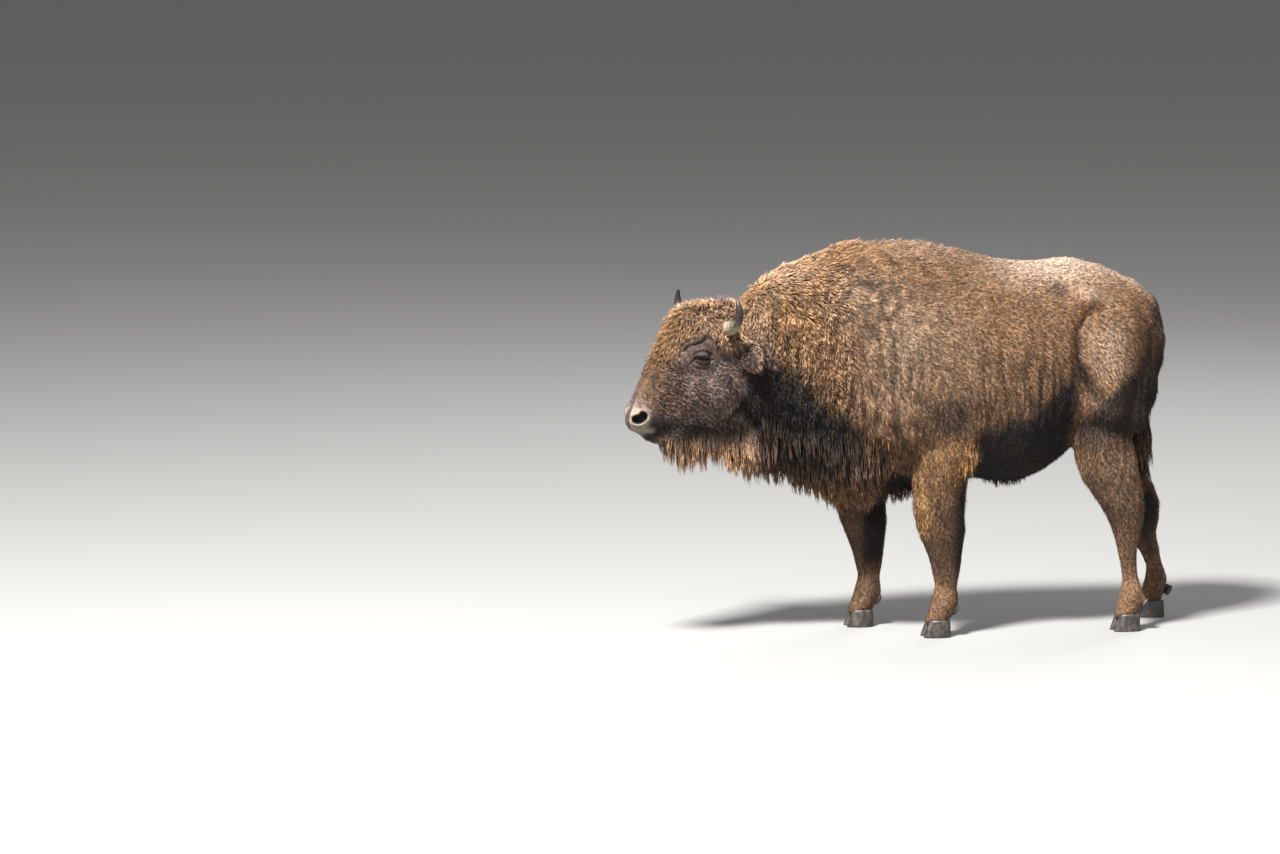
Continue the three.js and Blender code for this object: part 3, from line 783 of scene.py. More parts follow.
def crease_shade(points):
    """Painted shade: 1 in the deep lines of lids and mouth, over the upper lid, under the eye and in its
    corners.
    """
    head = mirrored(in_head(points))
    out, a, u = seen_from(head, EYE_AT, EYE_AXES)
    on_face = np.column_stack((a, u))
    near = (out > BEHIND_EYE) & (np.hypot(a, u) < ROUND_EYE)
    found = hump_of(line_distance(head, MOUTH), 0.006) * ease(-0.30, -0.34, head[:, 1])
    at_lids = np.abs(np.abs(u - slit_middle(a)) - slit(a)) + 9 * (np.abs(a) > SLIT_LENGTH / 2)
    found = most(found, near * 0.85 * hump_of(at_lids, 0.0045))
    over_eye = u - slit_middle(a)
    upper_fold = near * 0.80 * ease(0.033, 0.026, over_eye) * (over_eye > 0) * ease(0.044, 0.030, np.abs(a))
    under_eye = np.hypot(a / 0.034, (u + 0.030) / 0.016)
    corners = np.hypot((np.abs(a) - 0.031) / 0.009, over_eye / 0.0055)
    found = most(found, upper_fold, near * 0.45 * ease(1.2, 0.6, under_eye))
    found = most(found, near * 0.90 * ease(1.3, 0.6, corners))
    for line, width, depth in EYE_LINES:
        found = most(found, near * depth / 0.0055 * hump_of(line_distance(on_face, line), width * 0.75))
    return np.clip(found, 0, 1)


# ---- Materials ----


def linear(code):
    """A colour written as sRGB hex, made linear."""
    values = [int(code[i : i + 2], 16) / 255 for i in (1, 3, 5)]
    return [v / 12.92 if v <= 0.04045 else ((v + 0.055) / 1.055) ** 2.4 for v in values] + [1]


def join(node, **links):
    """Links a node's inputs or sets them; a key is an input's name, or its number after a low line."""
    for key, value in links.items():
        number = key.lstrip("_")
        socket = node.inputs[int(number)] if number.isdigit() else node.inputs[key.replace("_", " ")]
        if hasattr(value, "is_linked"):
            node.id_data.links.new(value, socket)
        else:
            socket.default_value = linear(value) if isinstance(value, str) else value


def add(tree, kind, settings=(), out=0, **links):
    """Adds a node with its settings and what is linked or set on its inputs; gives back one output."""
    node = tree.nodes.new("ShaderNode" + kind)
    for key, value in dict(settings).items():
        setattr(node, key, value)
    join(node, **links)
    return node.outputs[out]


def material(name, roughness, specular):
    made = bpy.data.materials.new(name)
    made.use_nodes = True
    surface = made.node_tree.nodes["Principled BSDF"]
    join(surface, Roughness=roughness, Specular_IOR_Level=specular)
    return made, made.node_tree, surface


# Settings of nodes that mix two colours and that do a sum.
MIX, TINT = {"data_type": "RGBA"}, {"data_type": "RGBA", "blend_type": "MULTIPLY"}
TIMES, PLUS, MINUS = ({"operation": word} for word in ("MULTIPLY", "ADD", "SUBTRACT"))


def grain(tree, scale, size, detail=2.0, rough=0.5):
    """Noise on object coordinates; size is the wave in metres along an axis whose scale is 1."""
    where = add(tree, "TexCoord", (), "Object")
    fitted = add(tree, "Mapping", _0=where, _3=scale)
    return add(tree, "TexNoise", Vector=fitted, Scale=1 / size, Detail=detail, Roughness=rough)


# The coat's colours; "dark" and "dark warm" also serve as painted shade, and "pale" as painted light.
COAT = {
    "brown": "#7d5a3e",
    "tan": "#94704f",
    "gold": "#a67c4d",
    "pale": "#cdb098",
    "face": "#604c43",
    "face grey": "#826f66",
    "dark": "#0c0908",
    "dark warm": "#211813",
}


def coat_colour(tree):
    """The colours of a wisent's summer coat, with the painted shade and light its zones carry: one recipe for
    skin and hair.
    """
    zones = add(tree, "Attribute", {"attribute_name": "zones"}, "Color")
    dark = add(tree, "SeparateColor", Color=zones)
    gold, pale = dark.node.outputs[1], dark.node.outputs[2]
    face = zones.node.outputs["Alpha"]
    along = add(tree, "Attribute", {"attribute_name": "along"}, "Fac")
    shade = add(tree, "Attribute", {"attribute_name": "shade"}, "Fac")
    patches = add(tree, "MapRange", _0=grain(tree, (1, 1, 0.6), 0.085, 3.0), _1=0.30, _2=0.72)
    colour = add(tree, "Mix", MIX, 2, _0=patches, _6=COAT["brown"], _7=COAT["tan"])
    colour = add(tree, "Mix", MIX, 2, _0=gold, _6=colour, _7=COAT["gold"])
    colour = add(tree, "Mix", MIX, 2, _0=pale, _6=colour, _7=COAT["pale"])
    cheek = add(tree, "Mix", MIX, 2, _0=patches, _6=COAT["face"], _7=COAT["face grey"])
    colour = add(tree, "Mix", MIX, 2, _0=face, _6=colour, _7=cheek)
    night = add(tree, "Mix", MIX, 2, _0=patches, _6=COAT["dark"], _7=COAT["dark warm"])
    colour = add(tree, "Mix", MIX, 2, _0=dark, _6=colour, _7=night)
    # Hair is darker at the root, partly as painted shade deep in the coat, and bleached at the tip; no two
    # tufts are alike, the shade attribute paints shade into the wool's folds, and the wool is flecked every
    # 10 mm or so, which is coarser than real hairs so that it shows.
    tip = add(tree, "MapRange", _0=along, _3=0.30, _4=1.38)
    tuft = add(tree, "MapRange", _0=shade, _3=0.36, _4=1.62)
    flecks = grain(tree, (1, 0.8, 0.8), 0.009, 3.0, 0.6)
    flecks = add(tree, "MapRange", _0=flecks, _1=0.37, _2=0.63, _3=0.50, _4=1.52)
    strength = add(tree, "Math", TIMES, _0=add(tree, "Math", TIMES, _0=tip, _1=tuft), _1=flecks)
    grey = add(tree, "CombineColor", Red=strength, Green=strength, Blue=strength)
    return add(tree, "Mix", TINT, 2, _0=1.0, _6=colour, _7=grey)


def hair_material():
    """Wool and guard hair: matt, with a soft sheen where tips catch the light."""
    made, tree, surface = material("wisent hair", 0.75, 0.18)
    join(surface, Base_Color=coat_colour(tree), Sheen_Weight=0.04, Sheen_Roughness=0.5)
    return made


def skin_material():
    """Skin under short hair: the coat's colours, with a moist dark nose, a pale muzzle and bare lids."""
    made, tree, surface = material("wisent skin", 0.7, 0.30)
    colour = coat_colour(tree)
    bare = add(tree, "Attribute", {"attribute_name": "bare"}, "Color")
    pad = add(tree, "SeparateColor", Color=bare)
    rim, lids, hole = pad.node.outputs[1], pad.node.outputs[2], bare.node.outputs["Alpha"]
    crease = add(tree, "Attribute", {"attribute_name": "crease"}, "Fac")
    hairs = grain(tree, (1, 1, 0.25), 0.004, 3.0, 0.6)
    fine = add(tree, "MapRange", _0=hairs, _1=0.3, _2=0.7)
    muzzle = add(tree, "Mix", MIX, 2, _0=fine, _6="#75655a", _7="#ab9b88")
    colour = add(tree, "Mix", MIX, 2, _0=rim, _6=colour, _7=muzzle)
    lid = add(tree, "Mix", MIX, 2, _0=fine, _6="#332928", _7="#5e4f4a")
    colour = add(tree, "Mix", MIX, 2, _0=lids, _6=colour, _7=lid)
    # The nose pad is cobbled in grains about 3 mm across.
    where = add(tree, "TexCoord", (), "Object")
    cobbles = add(tree, "TexVoronoi", (), "Distance", Vector=where, Scale=1 / 0.0032)
    between = add(tree, "MapRange", _0=cobbles, _1=0.0, _2=0.7)
    nose = add(tree, "Mix", MIX, 2, _0=between, _6="#6d6158", _7="#2c2624")
    colour = add(tree, "Mix", MIX, 2, _0=pad, _6=colour, _7=nose)
    # Painted shade in the creases of the lids and mouth.
    deep = add(tree, "MapRange", _0=crease, _3=1.0, _4=0.16)
    grey = add(tree, "CombineColor", Red=deep, Green=deep, Blue=deep)
    colour = add(tree, "Mix", TINT, 2, _0=1.0, _6=colour, _7=grey)
    # The nostril's hole is painted near black: painted shade inside the pit.
    colour = add(tree, "Mix", MIX, 2, _0=hole, _6=colour, _7="#0a0707")
    wet = add(tree, "MapRange", _0=pad, _3=0.74, _4=0.30)
    height = add(tree, "Math", PLUS, _0=hairs, _1=add(tree, "Math", TIMES, _0=cobbles, _1=pad))
    bump = add(tree, "Bump", Strength=0.55, Distance=0.003, Height=height)
    join(surface, Base_Color=colour, Roughness=wet, Normal=bump)
    return made


# ---- Skin, with its attributes ----


def set_float(mesh, name, values):
    mesh.attributes.new(name, "FLOAT", "POINT").data.foreach_set("value", np.asarray(values, np.float32))


def set_colour(mesh, name, values):
    made = mesh.attributes.new(name, "FLOAT_COLOR", "POINT")
    made.data.foreach_set("color", np.ascontiguousarray(values, np.float32).ravel())


def shade_of(points):
    """Painted shade: lighter on the ridges of the wool, darker in its folds and partings; lighter on the
    ears, with random tone.
    """
    head = mirrored(in_head(points))
    wavy = 0.10 + 0.16 * ease(0.1, -0.2, in_body(points)[:, 1])
    shade = 0.55 + wavy * folds(points) - 0.85 * furrows(points)
    shade += 0.14 * ripples(points, 0.028, 21) + 0.10 * ripples(points, 0.016, 22)
    shade += 0.20 * ripples(points, 0.013, 25) * ease(-0.15, -0.35, head[:, 1])
    strands = ripples(points * (1, 1, 0.35), 0.014, 23)
    return shade + (0.04 + 0.40 * strands) * most(ear_share(head), ear_root_share(head))


skin_mesh = finish_skin()
HAIR, SKIN = hair_material(), skin_material()
skin = object_of("skin", skin_mesh)
skin_mesh.polygons.foreach_set("use_smooth", [True] * len(skin_mesh.polygons))
_points = spots(skin_mesh)
set_colour(skin_mesh, "zones", markings(_points))
set_colour(skin_mesh, "bare", bare_skin(_points))
# Painted shade: the skin is darker under long hair, so the gaps between tufts read as shade.
set_float(skin_mesh, "along", np.interp(coat_length(_points), [0.008, 0.016, 0.03], [0.6, 0.34, 0.04]))
set_float(skin_mesh, "shade", np.clip(shade_of(_points) - 0.1, 0, 1))
set_float(skin_mesh, "crease", crease_shade(_points))
skin_mesh.materials.append(SKIN)
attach(skin, "root")
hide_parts(*FLESH, *LEGS)

# ---- Coat ----

PATCH = 0.003  # how wide a tuft's patch is on the bake map
UNROLLED_START, UNROLLED_WIDTH = 0.34, 1.68  # in turns: where an unrolled tuft's outer corners reach
LEAN = 0.35  # how far a tip may lean towards its clump's leader, as a share of its length


def spike(bends):
    """One closed three-sided spike a unit long, cut across where a tuft of its kind bends."""
    shape = bmesh.new()
    upright = Matrix.Translation((0, 0, 0.5))
    bmesh.ops.create_cone(shape, cap_ends=True, segments=3, radius1=1, radius2=0, depth=1, matrix=upright)
    bmesh.ops.remove_doubles(shape, verts=shape.verts, dist=1e-4)
    for height in bends:
        everything = shape.verts[:] + shape.edges[:] + shape.faces[:]
        bmesh.ops.bisect_plane(shape, geom=everything, dist=1e-6, plane_co=(0, 0, height), plane_no=(0, 0, 1))
    bmesh.ops.triangulate(shape, faces=shape.faces)
    bmesh.ops.recalc_face_normals(shape, faces=shape.faces)
    shape.verts.index_update()
    along = np.array([v.co.z for v in shape.verts])
    turn = np.array([math.atan2(v.co.y, v.co.x) for v in shape.verts])
    corners = np.array([[v.index for v in face.verts] for face in shape.faces])
    unrolled = []
    for face in shape.faces:
        middle_of = face.calc_center_median()
        facing = math.atan2(middle_of.y, middle_of.x)
        for vertex in face.verts:
            if abs(face.normal.z) > 0.9:
                unrolled.append((0.5 + 0.3 * vertex.co.x, 0.06 + 0.05 * vertex.co.y))
                continue
            at_tip = vertex.co.xy.length < 1e-6
            swing = 0 if at_tip else (turn[vertex.index] - facing + math.pi) % math.tau - math.pi
            unrolled.append(((facing + swing) / math.tau + 0.5, vertex.co.z))
    shape.free()
    unrolled = np.array(unrolled)
    unrolled[:, 0] = (unrolled[:, 0] + UNROLLED_START) / UNROLLED_WIDTH
    return {"along": along, "turn": turn, "corners": corners, "map": unrolled}


HAIR_TUFT, TUFT, LOCK = spike([]), spike([0.45]), spike([0.16, 0.36, 0.58, 0.8])


def tuft_width(points, length):
    """Short hair parts into finer tufts than long wool, and the forehead's wool is fine."""
    head = mirrored(in_head(points))
    fine = 0.22 * forehead_share(head) * ease(0.03, -0.03, head[:, 1])
    width = np.interp(length, [0.007, 0.014, 0.027, 0.034, 0.045], [0.0015, 0.0022, 0.0029, 0.0034, 0.0042])
    return (1 - fine) * width


def tuft_cover(points):
    """How many times over the tufts cover the skin."""
    body, head = both_frames(points)
    cover = np.full(len(points), 1.8)
    cover += (1.2 - cover) * ease(0.70, 0.50, body[:, 2])
    cover += (1.8 + 0.6 * forehead_share(head) - cover) * ease(0.03, -0.03, head[:, 1])
    return cover


def grid_of(mesh):
    """The mesh as triangles: their corners, areas, and the corner normals."""
    mesh.calc_loop_triangles()
    corners = read(mesh.loop_triangles, "vertices", 3, int)
    points, normals = spots(mesh), normals_of(mesh)
    a, b, c = (points[corners[:, i]] for i in range(3))
    area = np.linalg.norm(np.cross(b - a, c - a), axis=1) / 2
    return points, normals, corners, area


GRID = grid_of(skin_mesh)


def scatter(density, rng):
    """Roots spread over the skin, density being how many stand on a square metre at each place."""
    points, normals, corners, area = GRID
    middles = points[corners].mean(axis=1)
    due = np.cumsum(area * density(middles)) + rng.random()
    count = np.diff(np.floor(due), prepend=0).astype(int)
    chosen = np.repeat(np.arange(len(corners)), count)
    first, second = rng.random((2, len(chosen)))
    flip = first + second > 1
    first, second = np.where(flip, 1 - first, first), np.where(flip, 1 - second, second)
    weights = np.column_stack((1 - first - second, first, second))[:, :, None]
    root, normal = ((table[corners[chosen]] * weights).sum(axis=1) for table in (points, normals))
    return root, unit(normal)


def nearest_of(points, centres):
    tree = KDTree(len(centres))
    for index, centre in enumerate(centres):
        tree.insert(centre, index)
    tree.balance()
    return np.array([tree.find(point)[1] for point in points])


def gathered(rng, roots, tips, length, size):
    """Neighbours lean together in clumps of about size: each one's leader, and the way from its tip to it."""
    leaders = rng.choice(len(roots), len(roots) // size, replace=False)
    lead = leaders[nearest_of(roots, roots[leaders])]
    gap = tips[lead] - tips
    return lead, gap * np.minimum(1, LEAN * length / most(np.linalg.norm(gap, axis=1), 1e-6))[:, None]


def laid(direction, normals):
    """Directions pressed flat onto the skin."""
    return unit(direction - normals * (direction * normals).sum(axis=1)[:, None])


def grow(name, shape, spine, across, over, width, thick, roots, zones, shade, bake, bleach):
    """Arrays one spike shape onto many spines, and gives it its colours and bake map."""
    count, along, turn = len(roots), shape["along"], shape["turn"]
    girth = np.interp(along, [0, 0.3, 0.7, 1], [0.75, 1.0, 0.62, 0.0])
    lying = across[:, None, :] * (width[:, None] * (girth * np.cos(turn)))[:, :, None]
    rising = over[:, None, :] * (thick[:, None] * (girth * np.sin(turn)))[:, :, None]
    points = spine + lying + rising
    points[:, :, 2] = most(points[:, :, 2], 0.001)
    corners = shape["corners"]
    faces = (corners[None] + (np.arange(count) * len(along))[:, None, None]).reshape(-1, 3)
    mesh = bpy.data.meshes.new(name)
    mesh.vertices.add(points.shape[0] * points.shape[1])
    mesh.vertices.foreach_set("co", points.astype(np.float32).ravel())
    mesh.loops.add(faces.size)
    mesh.loops.foreach_set("vertex_index", faces.ravel())
    mesh.polygons.add(len(faces))
    mesh.polygons.foreach_set("loop_start", np.arange(len(faces)) * 3)
    mesh.update(calc_edges=True)
    mesh.polygons.foreach_set("use_smooth", np.ones(len(faces), dtype=bool))
    set_float(mesh, "along", np.tile(along, count))
    set_float(mesh, "shade", np.repeat(shade, len(along)))
    zones = np.repeat(zones, len(along), axis=0)
    zones[:, 0] *= 1 - bleach * np.tile(along, count) ** 1.5
    set_colour(mesh, "zones", zones)
    patches = bake[:, None, :] + (shape["map"][None] - 0.5) * PATCH
    mesh.uv_layers.new(name="OFBake").uv.foreach_set("vector", patches.astype(np.float32).ravel())
    mesh.materials.append(HAIR)
    return mesh


def region_of(points):
    """The number of the coat piece that each root belongs to."""
    body, head = in_body(points), in_head(points)
    side = (body[:, 0] < 0).astype(int)
    band = np.digitize(body[:, 1], [-0.25, 0.15, 0.55])
    number = 4 + band * 2 + side
    legs = (body[:, 2] < 0.66) & (np.abs(body[:, 0]) > 0.07)
    number = np.where(legs, 12 + 2 * (body[:, 1] > 0.45) + side, number)
    on_head = head[:, 1] < 0.02
    return np.where(on_head, head[:, 0] < 0, number)


# A region's number is twice its part's place in this row, and one more on her right.
PARTS = ("head", None, "neck", "shoulder", "flank", "rump", "foreleg", "hindleg")
REGIONS = {
    2 * place_in + right: part + ("_right" if right else "_left")
    for place_in, part in enumerate(PARTS) if part for right in (0, 1)
}


def unwrapped():
    """A coarser copy of the skin, unwrapped region by region, to find each root's place on."""
    coarse = remeshed(skin_mesh.copy(), CHART_GRAIN)
    points = spots(coarse)
    middles = np.array([points[list(face.vertices)].mean(axis=0) for face in coarse.polygons])
    number = region_of(middles)
    charts = {}
    for key in REGIONS:
        shape = opened(coarse)
        shape.faces.ensure_lookup_table()
        bmesh.ops.delete(shape, geom=[f for f, n in zip(shape.faces[:], number) if n != key], context="FACES")
        bmesh.ops.triangulate(shape, faces=shape.faces)
        mesh = stored(shape, bpy.data.meshes.new("chart"))
        piece = object_of("chart", mesh)
        bpy.context.view_layer.objects.active = piece
        piece.select_set(True)
        bpy.ops.object.mode_set(mode="EDIT")
        bpy.ops.mesh.select_all(action="SELECT")
        bpy.ops.uv.smart_project(angle_limit=math.radians(66), island_margin=0.004)
        bpy.ops.object.mode_set(mode="OBJECT")
        places = read(mesh.uv_layers.active.uv, "vector", 2)
        where = read(mesh.loops, "vertex_index", 1, int).ravel()
        tree = BVHTree.FromPolygons(spots(mesh).tolist(), where.reshape(-1, 3).tolist())
        charts[key] = (tree, spots(mesh)[where].reshape(-1, 3, 3), places.reshape(-1, 3, 2))
        bpy.data.objects.remove(piece)
    return charts


CHARTS = unwrapped()


def bake_places(points, key):
    """Each root's place on the unwrap of its region."""
    tree, corners, places = CHARTS[key]
    found = [tree.find_nearest(point) for point in points]
    face = np.array([hit[2] for hit in found])
    at = np.array([hit[0] for hit in found])
    a, b, c = (corners[face, i] for i in range(3))
    normal = np.cross(b - a, c - a)
    whole = most((normal * normal).sum(axis=1), 1e-18)
    second = (np.cross(at - a, c - a) * normal).sum(axis=1) / whole
    third = (np.cross(b - a, at - a) * normal).sum(axis=1) / whole
    weights = np.clip(np.column_stack((1 - second - third, second, third)), 0, 1)[:, :, None]
    return np.clip((places[face] * weights).sum(axis=1), PATCH, 1 - PATCH)


coat_meshes = {key: [] for key in REGIONS}


def hand_out(name, shape, spine, across, over, width, thick, roots, shade, bleach=0.0):
    """Splits tufts by region and grows each region's own mesh."""
    zones = markings(roots)
    number = region_of(roots)
    for key in REGIONS:
        pick = number == key
        if pick.any():
            bake = bake_places(roots[pick], key)
            mesh = grow(
                name, shape, spine[pick], across[pick], over[pick], width[pick], thick[pick], roots[pick],
                zones[pick], shade[pick], bake, bleach,
            )
            coat_meshes[key].append(mesh)


def bends(points, length):
    """Wool, and the shaggy hair of the face, is curved; short body hair is straight."""
    on_head = in_head(points)[:, 1] < 0.0
    return (length >= 0.033) | (on_head & (length > 0.021))


def tufts(name, shape, chosen, seed):
    """The short coat: spikes that rise from the skin, bend over and lie along it."""
    rng = np.random.default_rng(seed)

    def density(points):
        length = coat_length(points)
        cover = tuft_cover(points) / (0.6 * length * tuft_width(points, length))
        return cover * chosen(points, length) * (1 - bareness(points))

    roots, normals = scatter(density, rng)
    count = len(roots)
    length = coat_length(roots)
    width = tuft_width(roots, length) * rng.uniform(0.75, 1.2, count)
    length = length * rng.uniform(0.75, 1.20, count)
    lift = np.clip(coat_lift(roots) * rng.uniform(0.7, 1.25, count), 0.08, 0.97)
    head = mirrored(in_head(roots))
    calm = 1 - 0.55 * ease(0.03, -0.03, head[:, 1])[:, None]
    swirl = np.column_stack([ripples(roots, 0.07, 31 + i) for i in range(3)]) * 0.24 * calm
    woolly = ease(0.024, 0.040, length)[:, None] * calm
    stray = rng.normal(0, 1, (count, 3)) * (0.15 + 0.18 * woolly)
    lie = laid(coat_lie(roots) + swirl * (0.5 + woolly) + stray, normals)
    along = shape["along"][None, :, None]
    tip_out = (length * lift)[:, None, None]
    tip_on = (length * np.sqrt(1 - lift**2))[:, None, None]
    spine = lie[:, None, :] * tip_on * (0.75 * along + 0.25 * along**2)
    spine = spine + normals[:, None, :] * (tip_out * (1.7 * along - 0.7 * along**2) - 0.0012)
    across = np.cross(normals, lie)
    wave = np.sin(along * rng.uniform(3, 7, count)[:, None, None] + rng.uniform(0, 6, count)[:, None, None])
    spine = spine + across[:, None, :] * wave * along * (length * 0.06)[:, None, None]
    tips = roots + lie * tip_on[:, 0] + normals * tip_out[:, 0]
    lead, pull = gathered(rng, roots, tips, length, 5)
    spine = spine + pull[:, None, :] * along**1.5 * 0.8 + roots[:, None, :]
    uneven = 1 + 0.25 * ease(0.02, -0.04, head[:, 1]) * (1 - 1.8 * forehead_share(head))
    shade = shade_of(roots) + (rng.normal(0, 0.15, count) + rng.normal(0, 0.21, count)[lead]) * uneven
    # The painted shade of the creases round eye and mouth darkens the hair over them too.
    shade -= 0.9 * crease_shade(roots)
    hand_out(name, shape, spine, across, normals, width / 2, width * 0.22, roots, np.clip(shade, 0, 1))


def lock_plan(points):
    """Where long hair hangs: how long it is, and how many locks stand on a square metre."""
    body, head = both_frames(points)
    x, y, z = body.T
    _, hy, hz = head.T
    behind = hy > 0.0
    length = np.zeros(len(points))
    rate = np.zeros(len(points))

    def patch(share, long, many):
        nonlocal length, rate
        length = np.where(share > 0, most(length, long * (0.45 + 0.55 * share)), length)
        rate = most(rate, many * np.minimum(1, share * 1.6))

    hanging = ease(0.92, 0.74, z + 0.30 * (y + 0.45)) * ease(-0.02, -0.14, y) * behind * ease(0.46, 0.60, z)
    patch(hanging, 0.115, 13000)
    patch(ease(-0.26, -0.34, hz) * ease(0.06, 0.0, hy) * ease(-0.40, -0.36, hy) * (z < 1.0), 0.120, 20000)
    patch(ear_share(head) * ease(-0.05, -0.01, hz), 0.032, 24000)
    patch(ear_share(head), 0.014, 12000)
    patch(ear_root_share(head), 0.056, 20000)
    patch(ease(-0.24, -0.32, hz) * ease(-0.16, -0.08, hy) * ease(0.14, 0.06, hy), 0.120, 13000)
    brisket = ease(0.70, 0.62, z) * ease(0.50, 0.56, z) * ease(0.13, 0.08, x)
    patch(brisket * ease(0.30, 0.20, y) * ease(-0.3, -0.2, y), 0.075, 8000)
    patch(ball(body, (0.21, 0.220, 0.730), (0.11, 0.09, 0.13)) * 1.3, 0.066, 14000)
    patch(ball(body, (0.19, 0.065, 0.52), (0.08, 0.06, 0.20)) * 1.5, 0.036, 14000)
    patch(ease(0.86, 0.78, z) * ease(0.05, 0.03, x) * ease(0.90, 0.93, y), 0.150, 40000)
    patch(ease(1.30, 1.15, z) * ease(0.05, 0.03, x) * ease(1.0, 1.03, y), 0.045, 14000)
    patch(ball(head, (0, -0.13, 0.22), (0.15, 0.17, 0.12)) * 1.4, 0.055, 15000)
    patch(horn_root_share(head), 0.048, 30000)
    patch(ease(0.62, 0.585, z) * ease(0.10, 0.05, x) * ease(0.3, 0.4, y) * ease(0.62, 0.55, y), 0.045, 9000)
    return length, rate * (1 - bareness(points))


def locks(seed):
    """Long hair: locks that leave the skin, turn down under their own weight and gather into wisps."""
    rng = np.random.default_rng(seed)
    roots, normals = scatter(lambda points: lock_plan(points)[1], rng)
    count = len(roots)
    length = lock_plan(roots)[0] * rng.uniform(0.55, 1.15, count)
    head = mirrored(in_head(roots))
    curly = full_ball(head, (0, -0.13, 0.22), (0.17, 0.19, 0.15), 2)
    lie = coat_lie(roots)
    swirl = np.column_stack([ripples(roots, 0.09, 41 + i) for i in range(3)]) * 0.25
    flat = most(ear_share(head), ear_root_share(head))
    lifted = 0.7 + 0.4 * curly - 0.45 * flat
    start = unit(laid(lie + swirl, normals) + normals * lifted[:, None] + rng.normal(0, 0.12, (count, 3)))
    hang = unit(np.array((0, 0.10, -1.0)) + swirl * 0.5 + rng.normal(0, 0.05, (count, 3)))
    held = most(curly, horn_root_share(head))
    end = unit(hang * (1 - held)[:, None] + (lie * 0.8 + normals * 0.7 * curly[:, None]) * held[:, None])
    along = LOCK["along"]
    steps = np.linspace(0, 1, 13)
    path = [np.zeros((count, 3))]
    for here in steps[1:]:
        turned = min(1, here * 1.9)
        path.append(path[-1] + unit(start * (1 - turned) + end * turned) * (length / 12)[:, None])
    path = np.stack(path, axis=1)
    low = np.clip(np.searchsorted(steps, along + 1e-9) - 1, 0, 11)
    share = (along - steps[low]) / (steps[1] - steps[0])
    spine = path[:, low] * (1 - share)[None, :, None] + path[:, low + 1] * share[None, :, None]
    across = unit(np.cross(end, normals) + 1e-6)
    phase, turns = rng.uniform(0, math.tau, count), rng.uniform(5, 9, count) + 4 * curly
    amount = length * (0.035 + 0.10 * curly)
    bend = along[None] * turns[:, None] + phase[:, None]
    swept = along[None] ** 0.7
    sideways = np.sin(bend) * swept * amount[:, None]
    outward = np.cos(bend) * swept * amount[:, None] * 0.7 - 0.002
    spine = spine + across[:, None] * sideways[:, :, None]
    spine = spine + normals[:, None] * outward[:, :, None]
    lead, pull = gathered(rng, roots, roots + path[:, -1], length, 8)
    spine = spine + pull[:, None, :] * (along**1.3)[None, :, None] * 0.7 + roots[:, None, :]
    width = np.clip(0.062 * length, 0.0032, 0.0072) * rng.uniform(0.7, 1.2, count)
    shade = shade_of(roots) + rng.normal(0, 0.13, count) + rng.normal(0, 0.14, count)[lead] + 0.10
    over = unit(np.cross(across, end))
    hand_out("locks", LOCK, spine, across, over, width / 2, width * 0.28, roots, np.clip(shade, 0, 1), 0.24)


tufts("tufts", HAIR_TUFT, lambda points, length: ~bends(points, length), 1)
tufts("tufts", TUFT, bends, 2)
locks(3)

for key, name in REGIONS.items():
    parts = [object_of("part", mesh) for mesh in coat_meshes[key]]
    with bpy.context.temp_override(active_object=parts[0], selected_editable_objects=parts):
        bpy.ops.object.join()
    coat = parts[0]
    coat.name = coat.data.name = "coat_" + name
    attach(coat, "root")

# ---- Horns, eyes, hooves ----


def finished(name, shape, paint, nodes=()):
    """Turns a bmesh into a piece that rides on the body and stands for its solids."""
    bmesh.ops.recalc_face_normals(shape, faces=shape.faces)
    mesh = stored(shape, bpy.data.meshes.new(name))
    mesh.polygons.foreach_set("use_smooth", [True] * len(mesh.polygons))
    mesh.materials.append(paint)
    piece = object_of(name, mesh)
    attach(piece, "root")
    if nodes:
        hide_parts(*nodes)
    return piece


def curve_through(stops, count):
    """Places and radii on one smooth curve through the stops, each (x, y, z, radius)."""
    stops = np.array(stops)
    padded = np.vstack((2 * stops[0] - stops[1], stops, 2 * stops[-1] - stops[-2]))
    places = np.linspace(0, len(stops) - 1 - 1e-6, count)
    index, t = places.astype(int), (places % 1)[:, None]
    p0, p1, p2, p3 = (padded[index + i] for i in range(4))
    half = 0.5 * (2 * p1 + (p2 - p0) * t + (2 * p0 - 5 * p1 + 4 * p2 - p3) * t**2)
    return half + 0.5 * (3 * p1 - p0 - 3 * p2 + p3) * t**3


def loft(shape, spots_on, radii, sides, closed=False):
    """Joins rings along a curve into a tube; an open one ends flat at the start and in a point at the end."""
    rings, across = [], None
    count = len(spots_on)
    for index in range(count):
        before = spots_on[index - 1] if closed or index else spots_on[0]
        after = spots_on[(index + 1) % count] if closed or index < count - 1 else spots_on[-1]
        ahead = (Vector(after) - Vector(before)).normalized()
        across = ahead.orthogonal() if across is None else across
        across = (across - ahead * across.dot(ahead)).normalized()
        frame_at = Matrix((across, ahead.cross(across), ahead)).transposed().to_4x4()
        place_at = Matrix.Translation(spots_on[index]) @ frame_at
        ring = bmesh.ops.create_circle(shape, segments=sides, radius=radii[index], matrix=place_at)
        rings.append(ring["verts"])

    def ring_edges(ring):
        held = set(ring)
        return [edge for vertex in ring for edge in vertex.link_edges if set(edge.verts) <= held]

    loops = [list(dict.fromkeys(ring_edges(ring))) for ring in rings]
    pairs = list(zip(loops, loops[1:])) + ([(loops[-1], loops[0])] if closed else [])
    for first, second in pairs:
        bmesh.ops.bridge_loops(shape, edges=first + second)
    if not closed:
        bmesh.ops.contextual_create(shape, geom=loops[0])
        bmesh.ops.pointmerge(shape, verts=rings[-1], merge_co=Vector(spots_on[-1]))


